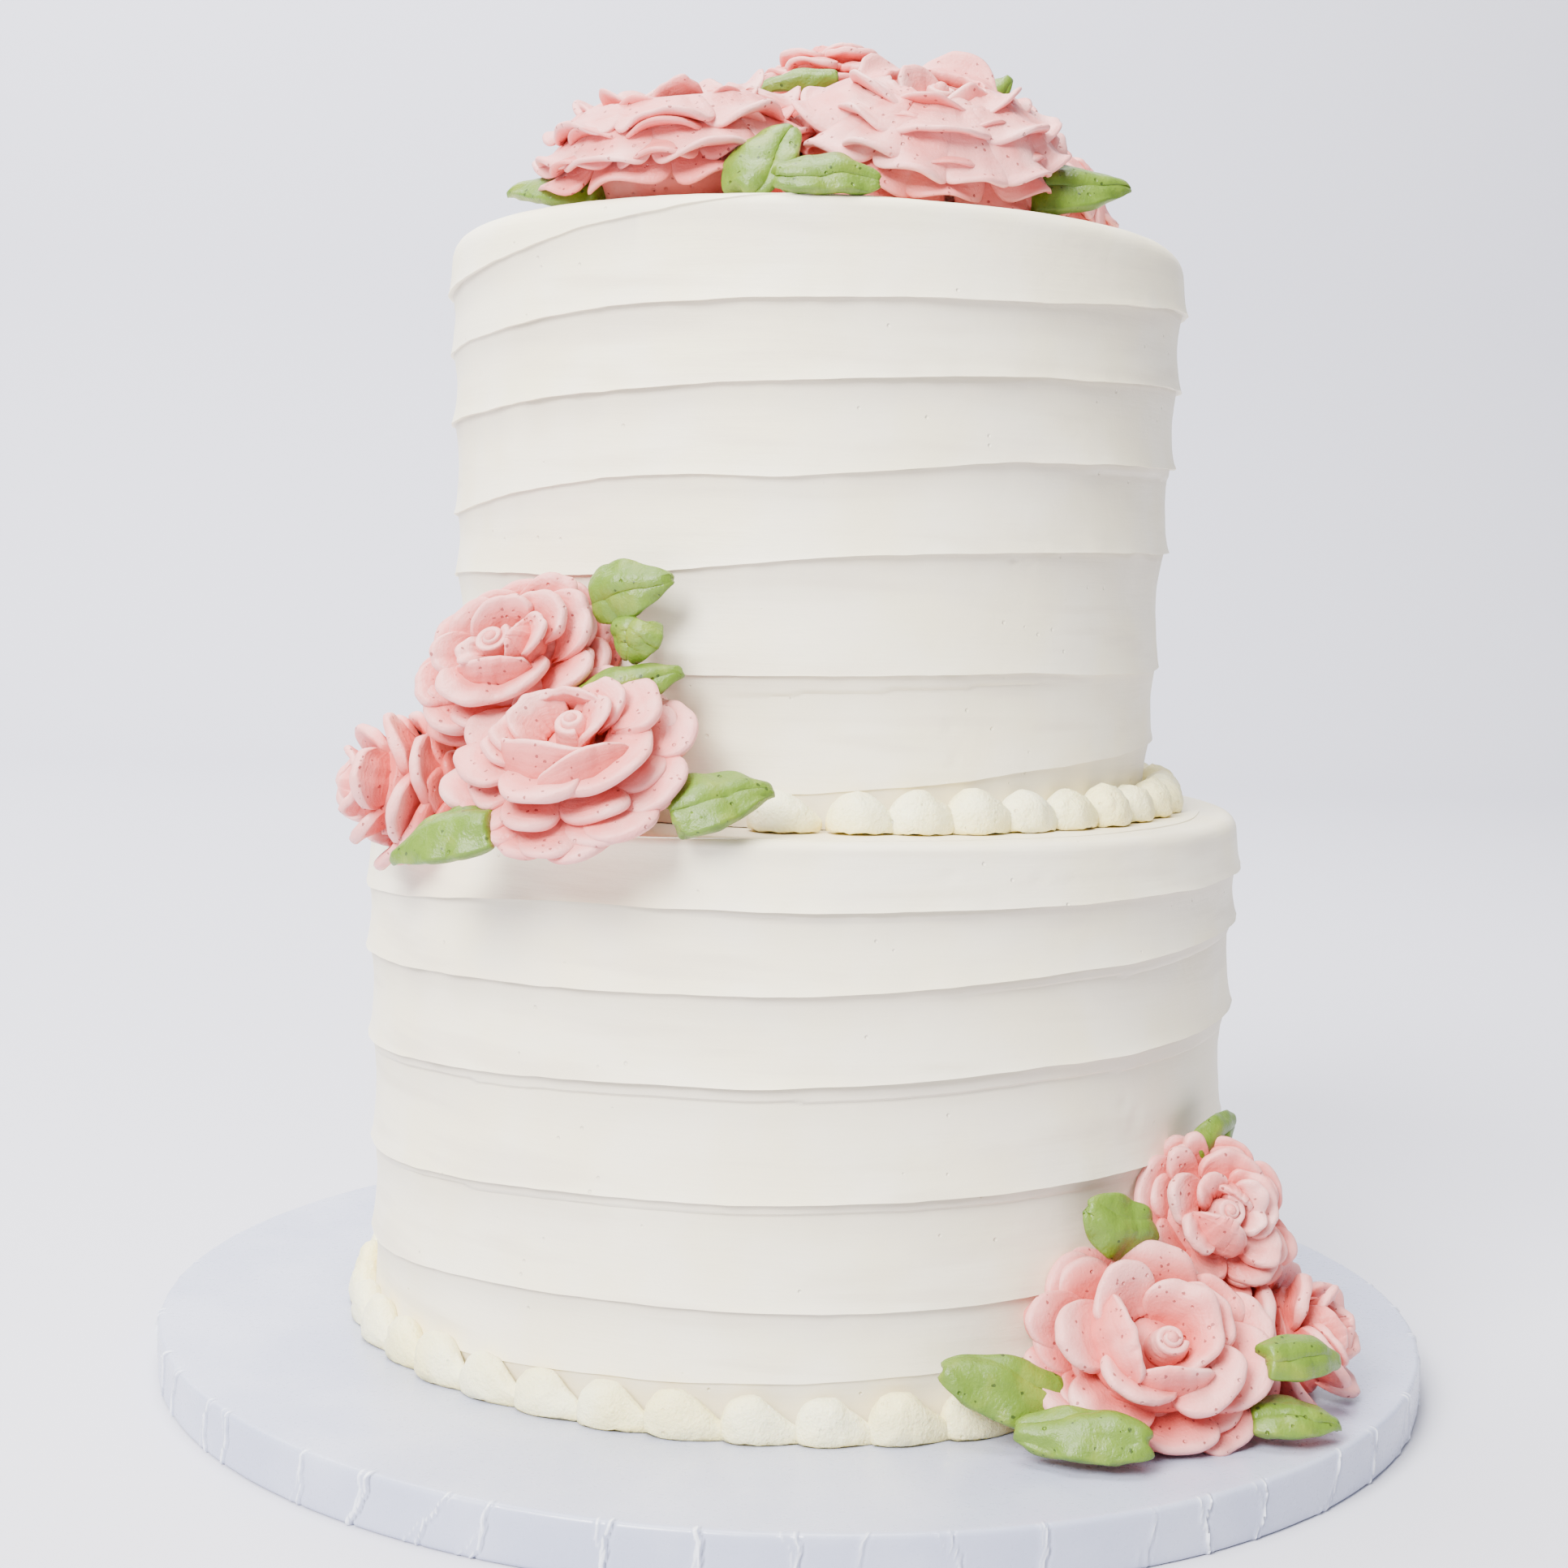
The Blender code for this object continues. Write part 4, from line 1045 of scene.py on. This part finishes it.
def pipe_petal(bm, rose, petal, draw, layers, grid=PETAL_GRID, pale=1.0):
    """One petal: a soft band that stands up round the bud, or lies on the dome like a shingle."""
    turn, span, reach, foot, lift = petal
    painted_light_layer, stroke_layer = layers
    seed = draw.uniform(0, 100)
    half = math.radians(span) * 0.56
    middle = math.radians(turn)
    cup = 1 - (1 - max(rose.stand, 0.0)) * held((reach - 0.42) / 0.30)
    hang = max(-rose.stand, 0.0) * held((reach - 0.20) / 0.20)
    closed = reach < foot
    if not closed:
        foot = min(foot, reach - 0.24) - 0.10 * (1 - cup) * (1 - hang)
    rim_height = rose.rise * dome_height(reach) + lift
    hung = rose.rise * dome_height(foot) + 0.6 * lift - 0.04
    foot_height = (rim_height - 0.13 - 0.27 * cup) * (1 - hang) + hung * hang
    roll = 0.035 * draw.uniform(0.5, 1.5)
    skew = draw.uniform(-0.05, 0.05)
    rim_thick = (RIM_THIN + (RIM_THICK - RIM_THIN) * held((reach - 0.45) / 0.3)) * (1 - 0.45 * hang)
    waves = draw.uniform(0.8, 1.5)
    slope = draw.uniform(-0.05, 0.05) * (1 - 0.8 * hang)
    peak = draw.uniform(-0.28, 0.28) * (1 - 0.6 * hang)
    ends = draw.uniform(2.1, 3.1), draw.uniform(2.1, 3.1)

    def surface(u, v):
        edge = max(min(u, 1.0), -1.0)
        shifted = edge + peak * (1 - edge * edge)
        plump = (1 - abs(shifted) ** ends[shifted > 0]) ** 0.5
        soft = noise.noise(Vector((edge * half * 2.4 + seed, v * 0.5, 1.0)))
        fine = noise.noise(Vector((edge * half * 6.5 + seed, v * 1.6, 4.0)))
        push = max(v, 0.0) * (0.06 + 0.94 * plump)
        rolled = max(push - 0.75, 0) / 0.25
        cupped = math.sin(push * math.pi / 2) * cup + push ** 1.5 * (1 - cup)
        risen = cupped * (1 - hang) + push ** 1.3 * hang
        turned = middle + edge * half * (0.86 + 0.14 * push) + skew * math.sin(push * math.pi)
        if closed:
            rim_out = min(reach / max(math.cos(0.85 * edge * half), 0.4), 0.85 * foot)
            out = foot + (rim_out - foot) * push + 0.012 * soft
        else:
            out = foot + (reach - foot) * push * (1 + 0.12 * waves * soft) + roll * rolled ** 2
        height = foot_height + (rim_height - foot_height) * risen
        ruffle = 0.0 if closed else 0.07 * waves * soft * (1 - 0.7 * hang) + slope * edge
        height += (ruffle + 0.022 * fine) * push
        height += (0.05 * hang - 0.5 * roll) * rolled ** 2
        height += rose.arch * (1 - 2.4 * edge * edge) * push ** 3
        out += 0.018 * fine
        return polar(out, turned, height)

    def thickness(u, v):
        lump = 1 + 0.45 * noise.noise(Vector((u * half * 3.6, v * 1.8, seed)))
        thick = PETAL_FOOT_THICK + (rim_thick - PETAL_FOOT_THICK) * v ** 0.8
        return thick / rose.radius * (1 - 0.35 * abs(u) ** 4) * lump

    strip = add_strip(bm, *grid)

    # Painted light and shade: pale at the rim, painted shade towards the foot, on the underside and deep
    # in the creases
    def painted_paleness(co, u, v, side):
        outer = 1 - (0.42 - 0.20 * hang) * (1 - v ** 2.5)
        under = 1 - (0.35 + 0.40 * hang) * side * (1 - v ** (6 + 6 * hang))
        return pale * in_crease(rose, co) * outer * under

    bend_strip(strip, surface, thickness, painted_light_layer, painted_paleness,
               stroke_layer, lambda u, v, side: Vector((u * half * reach * 2, v * 9 + side, seed)))


def roll_bud(bm, rose, draw, layers):
    """The bud: one strip rolled up into a cone, with its last end a little open."""
    painted_light_layer, stroke_layer = layers
    start = draw.uniform(0, math.tau)
    size = BUD_REACH / rose.radius
    foot = Vector((rose.bud[0], rose.bud[1], 0.0))

    def surface(u, v):
        along = (max(min(u, 1.0), -1.0) + 1) / 2
        turned = start + along * BUD_TURNS * math.tau
        reach = size * (0.02 + 0.98 * along + 0.35 * (1 - v))
        height = rose.rise * (0.40 + (0.56 - 0.10 * along) * v)
        return foot + polar(reach, turned, height)

    strip = add_strip(bm, *BUD_GRID)
    # Painted shade deeper down the bud, paler at its top edge
    bend_strip(strip, surface, lambda u, v: (1.9 - 0.4 * v) / rose.radius,
               painted_light_layer, lambda co, u, v, side: 0.45 + 0.55 * v,
               stroke_layer, lambda u, v, side: Vector((u * 3, v * 6, 7)))
    core = add_ball(bm, CORE_GRID, CORE_REACH / rose.radius)
    top = Vector((0, 0, 0.96 * rose.rise - 1.5 / rose.radius))
    bmesh.ops.translate(bm, verts=core, vec=foot + top)
    # The bud's core gets a fixed share of painted light
    for vert in core:
        vert[painted_light_layer] = 0.7


def pipe_heart(bm, rose, layers):
    """The mound of icing that the petals are piped on."""
    painted_light_layer, stroke_layer = layers
    rise = rose.rise
    back = -rose.depth / rose.radius
    edge = rise * dome_height(HEART_REACH) - 0.38
    for vert in add_ball(bm, HEART_GRID, 1):
        out = math.hypot(vert.co.x, vert.co.y)
        rough = noise.noise(vert.co * 3.3 + Vector((rose.seed, 0, 0)))
        turned = math.atan2(vert.co.y, vert.co.x)
        if vert.co.z >= 0:
            reach = HEART_REACH * out
            height = rise * dome_height(reach) - 0.22 - 0.16 * min(out / 0.6, 1.0)
        else:
            reach = HEART_REACH * out ** 0.7
            height = edge + (back - edge) * abs(vert.co.z)
        reach *= 1 + 0.05 * rough
        vert.co = polar(reach, turned, height + 0.04 * rough)
        # Painted light: painted shade deep between the petals, and paler down the mound's back
        vert[painted_light_layer] = 0.25 + 0.4 * in_crease(rose, vert.co) + 0.35 * max(-vert.co.z, 0.0)
        vert[stroke_layer] = vert.co * 4


def collar_rows(rose, rows):
    """More rows of low petals down the mound, where it would show from the side."""
    lowest = rows[-1][2] if rows else -0.28
    depth = rose.depth / rose.radius - 0.25
    count = max(int((depth + lowest) / COLLAR_STEP), 0)
    return tuple((0.97 - 0.04 * i, 0.60, lowest - COLLAR_STEP * (i + 1), 8) for i in range(count))


def pipe_rose(rose, material):
    """A piped rose: bands of petals round a rolled bud, on a mound."""
    draw = random.Random(rose.seed)
    bm = bmesh.new()
    layers = bm.verts.layers.float.new("rim"), bm.verts.layers.float_vector.new("stroke")
    pipe_heart(bm, rose, layers)
    roll_bud(bm, rose, draw, layers)
    for turn, span, *shares in rose.petals:
        pipe_petal(bm, rose, (turn, span, *(share / 100 for share in shares)), draw, layers)
    rows = FILL_ROWS if rose.stand < -0.5 else SKIRT_ROWS if rose.stand < 0.5 else ()
    # Under hanging petals the fill petals are painted in shade
    pale = FILL_PAINTED_LIGHT if rose.stand < -0.5 else 1.0
    rows += collar_rows(rose, rows)
    place = rose_frame(rose)
    for reach, foot, lift, count in rows:
        for i in range(count):
            turn = 360 / count * (i + draw.uniform(-0.12, 0.12)) + 70 * lift
            rim = place @ polar(reach, math.radians(turn), lift)
            if rim.z > (DRUM_THICKNESS - BURIED) * MM:
                petal = (turn, FILL_SPAN / count, reach, foot, lift)
                pipe_petal(bm, rose, petal, draw, layers, FILL_GRID, pale)
    bmesh.ops.recalc_face_normals(bm, faces=bm.faces)
    bmesh.ops.transform(bm, matrix=place, verts=bm.verts)
    add_piece(rose.name + "_petals", bm, material, rose.name, smoothing=1)


# Leaves

def pipe_leaf(leaf, material):
    """A piped leaf: folded along its vein, rippled at its edges and drawn out to a tip."""
    draw = random.Random(leaf.seed)
    base = on_cake(*leaf.base)
    tip = on_cake(*leaf.tip)
    along = tip - base
    side = facing(leaf.faces, leaf.tilt).cross(along).normalized()
    up = along.cross(side).normalized()
    half = leaf.width / 2 * MM
    thick = LEAF_THICKNESS * min(leaf.width / FULL_LEAF_WIDTH, 1.0) * MM
    seed = draw.uniform(0, 100)
    ripples = draw.uniform(2.2, 3.2)
    bow = draw.uniform(-0.5, 0.5)
    ridges = draw.uniform(3.0, 4.2)

    def surface(u, v):
        u = max(min(u, 1.0), -1.0)
        pointed = math.sin(math.pi * min(max(0.16 + 0.84 * v, 0), 1) ** 0.85) ** 0.85
        blunt = (1 - abs(2 * min(max(0.005 + 0.98 * v, 0), 1) - 1) ** 2.8) ** 0.6
        wide = pointed + (blunt - pointed) * leaf.round_end
        edge = abs(u)
        ripple = math.sin(math.tau * (ripples * v + 0.15 * u) + seed) * edge ** 1.6
        soft = noise.noise(Vector((u * 1.3 + seed, v * 2.5, 2.0)))
        sweep = v - 0.16 * edge + 0.05 * soft
        ridge = abs(math.sin(math.pi * (ridges * sweep + seed))) ** 0.7 - 0.6
        crest = leaf.crest * (1 - 0.5 * v) + (0.12 + 0.2 * leaf.round_end) * math.sin(5 * v + seed)
        away = abs(u - crest) / (1 + abs(crest) * (1 if (u < crest) == (crest > 0) else -1))
        roof = 1 - away ** 1.15 - 0.3 * math.exp(-((u - crest - LEAF_VEIN_PLACE) / 0.13) ** 2)
        rise = (LEAF_ARCH * math.sin(math.pi * v) + LEAF_ROOF * roof * (1 - 0.5 * v)
                + 0.8 * leaf.ripple * ripple + (0.7 + 0.9 * leaf.round_end) * soft
                + LEAF_RIDGES * ridge * (1 - v ** 3)) * MM
        shift = side * (u * half * wide * (1 + 0.05 * ripple) + bow * MM * math.sin(math.pi * v))
        return base + along * (v + 0.03 * ripple * (1 - v)) + shift + up * rise

    def thickness(u, v):
        return thick * (1 - 0.4 * v) * (1 - 0.25 * abs(u) ** 1.5)

    # Painted light: lit on the ridges across the leaf and along its crest, painted shade on its underside
    def leaf_light(co, u, v, side):
        sweep = v - 0.16 * abs(u)
        ridge = abs(math.sin(math.pi * (ridges * sweep + seed))) ** 0.7
        return (0.45 + 0.55 * ridge) * (1 - 0.5 * side) * (1 - 0.3 * abs(u - leaf.crest))

    bm = bmesh.new()
    painted_light_layer = bm.verts.layers.float.new("rim")
    stroke_layer = bm.verts.layers.float_vector.new("stroke")
    strip = add_strip(bm, *LEAF_GRID)
    bend_strip(strip, surface, thickness, painted_light_layer, leaf_light,
               stroke_layer, lambda u, v, side: Vector((v * 12, u * 2, seed)))
    bmesh.ops.recalc_face_normals(bm, faces=bm.faces)
    add_piece(leaf.name + "_icing", bm, material, leaf.name, smoothing=1)


# Drum

def fold_height(folds, around, up):
    """How far the folds in the drum's edge stand out: each is a thin ridge beside a thin groove."""
    height = 0.0
    for place, slant, fork, size, wide in folds:
        across = (around - place + math.pi) % math.tau - math.pi
        if abs(across) > FOLD_REACH:
            continue
        crooked = 0.8 * math.sin(5 * up + place * 40) + 0.25 * math.sin(17 * up + place * 9)
        away = across * DRUM_RADIUS + crooked
        for slope, share, shift in ((slant, 1.0, 0.0), (slant, -0.9, 1.6), (fork, 0.6, -2.5)):
            off = (away - slope * (up - 0.5) * DRUM_THICKNESS) / wide - shift
            height += share * size * math.exp(-off * off)
    return height


def wrap_drum(material):
    """The board in its foil, with the foil's creases round the edge."""
    draw = random.Random(5)
    folds = []
    for i in range(FOLD_COUNT):
        place = math.tau * (i + draw.uniform(-0.35, 0.35)) / FOLD_COUNT
        slant = draw.uniform(-0.15, 0.5)
        fork = slant + draw.uniform(-0.45, 0.45)
        folds.append((place, slant, fork, draw.uniform(0.25, 0.65), draw.uniform(0.24, 0.46)))
    bm = bmesh.new()
    fold_layer = bm.verts.layers.float.new("fold")
    flat = DRUM_RADIUS - DRUM_EDGE
    straight = DRUM_THICKNESS - 2 * DRUM_EDGE
    profile = [(flat - 2.0, 0.0), (flat, 0.0)]
    for lower, centre in ((True, DRUM_EDGE), (False, DRUM_THICKNESS - DRUM_EDGE)):
        for degrees in (25, 50, 75):
            angle = math.radians(degrees)
            out = math.sin(angle) if lower else math.cos(angle)
            rise = -math.cos(angle) if lower else math.sin(angle)
            profile.append((flat + DRUM_EDGE * out, centre + DRUM_EDGE * rise))
        if lower:
            for i in range(DRUM_ROWS + 1):
                profile.append((DRUM_RADIUS, DRUM_EDGE + straight * i / DRUM_ROWS))
    for inwards in DRUM_TOP_RINGS:
        profile.append((flat - inwards, DRUM_THICKNESS))
    line = [bm.verts.new((reach, 0, height)) for reach, height in profile]
    for pair in zip(line, line[1:]):
        bm.edges.new(pair)
    spin_finely(bm, DRUM_COLUMNS, DRUM_WEDGES, 0.0)
    bmesh.ops.holes_fill(bm, edges=open_edges(bm), sides=0)
    for vert in bm.verts:
        reach = math.hypot(vert.co.x, vert.co.y)
        height = vert.co.z
        around = math.atan2(vert.co.y, vert.co.x)
        if reach > flat - 0.1 and height > 0.01:
            slack = noise.noise(polar(14, around, height / 9))
            fold = fold_height(folds, around, height / DRUM_THICKNESS)
            # The fold's height, which the foil's colour also reads as a painted glint and painted shade
            vert[fold_layer] = fold / 0.5
            proud = fold + 0.16 * slack - 0.25
            draw_in(vert, (reach + proud) / reach)
        vert.co *= MM
    bmesh.ops.recalc_face_normals(bm, faces=bm.faces)
    add_piece("cake_drum_foil", bm, material, "cake_drum", sharp_degrees=60)


# Stage, light and camera

def add_stage(material):
    """A plain pale floor that curves up into a backdrop."""
    bm = bmesh.new()
    line = [bm.verts.new((0, -FLOOR_REACH, 0))]
    for i in range(BACKDROP_STEPS + 1):
        angle = math.radians(90 * i / BACKDROP_STEPS)
        line.append(bm.verts.new((0, FLOOR_DEPTH + BACKDROP_BEND * math.sin(angle),
                                  BACKDROP_BEND * (1 - math.cos(angle)))))
    line.append(bm.verts.new((0, FLOOR_DEPTH + BACKDROP_BEND, BACKDROP_TOP)))
    edges = [bm.edges.new(pair) for pair in zip(line, line[1:])]
    made = bmesh.ops.extrude_edge_only(bm, edges=edges)["geom"]
    bmesh.ops.translate(bm, verts=line, vec=(-FLOOR_REACH, 0, 0))
    bmesh.ops.translate(bm, verts=points_of(made), vec=(FLOOR_REACH, 0, 0))
    bmesh.ops.recalc_face_normals(bm, faces=bm.faces)
    stage = place_object("stage", smooth_mesh("stage", bm, material))


def add_area_light(name, place, aim, size, power, colour):
    """A large soft lamp that looks at a point."""
    lamp = bpy.data.lights.new(name, "AREA")
    lamp.shape = "RECTANGLE"
    lamp.size, lamp.size_y = size
    lamp.energy = power
    lamp.color = colour
    thing = place_object(name, lamp)
    thing.location = place
    thing.rotation_euler = (Vector(aim) - Vector(place)).to_track_quat("-Z", "Y").to_euler()


def add_lights():
    """Soft daylight from the left and above, with the room's light all round."""
    for lamp in LAMPS:
        add_area_light(*lamp)
    world = bpy.data.worlds.new("room")
    world.use_nodes = True
    set_inputs(world.node_tree.nodes["Background"], {"Color": ROOM_LIGHT, "Strength": ROOM_STRENGTH})
    bpy.context.scene.world = world


def add_camera():
    """The camera, turned, pitched down and rolled a little."""
    level = math.cos(CAMERA_PITCH)
    ahead = Vector((math.sin(CAMERA_YAW) * level, math.cos(CAMERA_YAW) * level, -math.sin(CAMERA_PITCH)))
    right = Vector((math.cos(CAMERA_YAW), -math.sin(CAMERA_YAW), 0))
    up = right.cross(ahead)
    across = math.cos(CAMERA_ROLL) * right + math.sin(CAMERA_ROLL) * up
    above = -math.sin(CAMERA_ROLL) * right + math.cos(CAMERA_ROLL) * up
    lens = bpy.data.cameras.new("camera")
    lens.sensor_width = SENSOR_WIDTH
    lens.lens = FOCAL_LENGTH
    lens.clip_start = 0.01
    camera = place_object("camera", lens)
    turn = Matrix((across, above, -ahead)).transposed().to_4x4()
    camera.matrix_world = Matrix.Translation(CAMERA_PLACE) @ turn
    bpy.context.scene.camera = camera


def build():
    """Make every piece, then the room round them."""
    cream = make_cream_group()
    specks = make_specks_group()
    wall_icing = make_wall_icing(cream)
    shell_icing = make_shell_icing(cream)
    rose_icing = make_rose_icing(cream, specks)
    leaf_icing = make_leaf_icing(cream, specks)
    add_camera()
    wrap_drum(make_drum_foil())
    for tier in (BOTTOM_TIER, TOP_TIER):
        spread_tier(tier, wall_icing)
    for border in (BOTTOM_BORDER, TOP_BORDER):
        pipe_border(border, shell_icing)
    for rose in ROSES:
        pipe_rose(rose, rose_icing)
    for leaf in LEAVES:
        pipe_leaf(leaf, leaf_icing)
    add_stage(make_stage_paint())
    add_lights()


build()
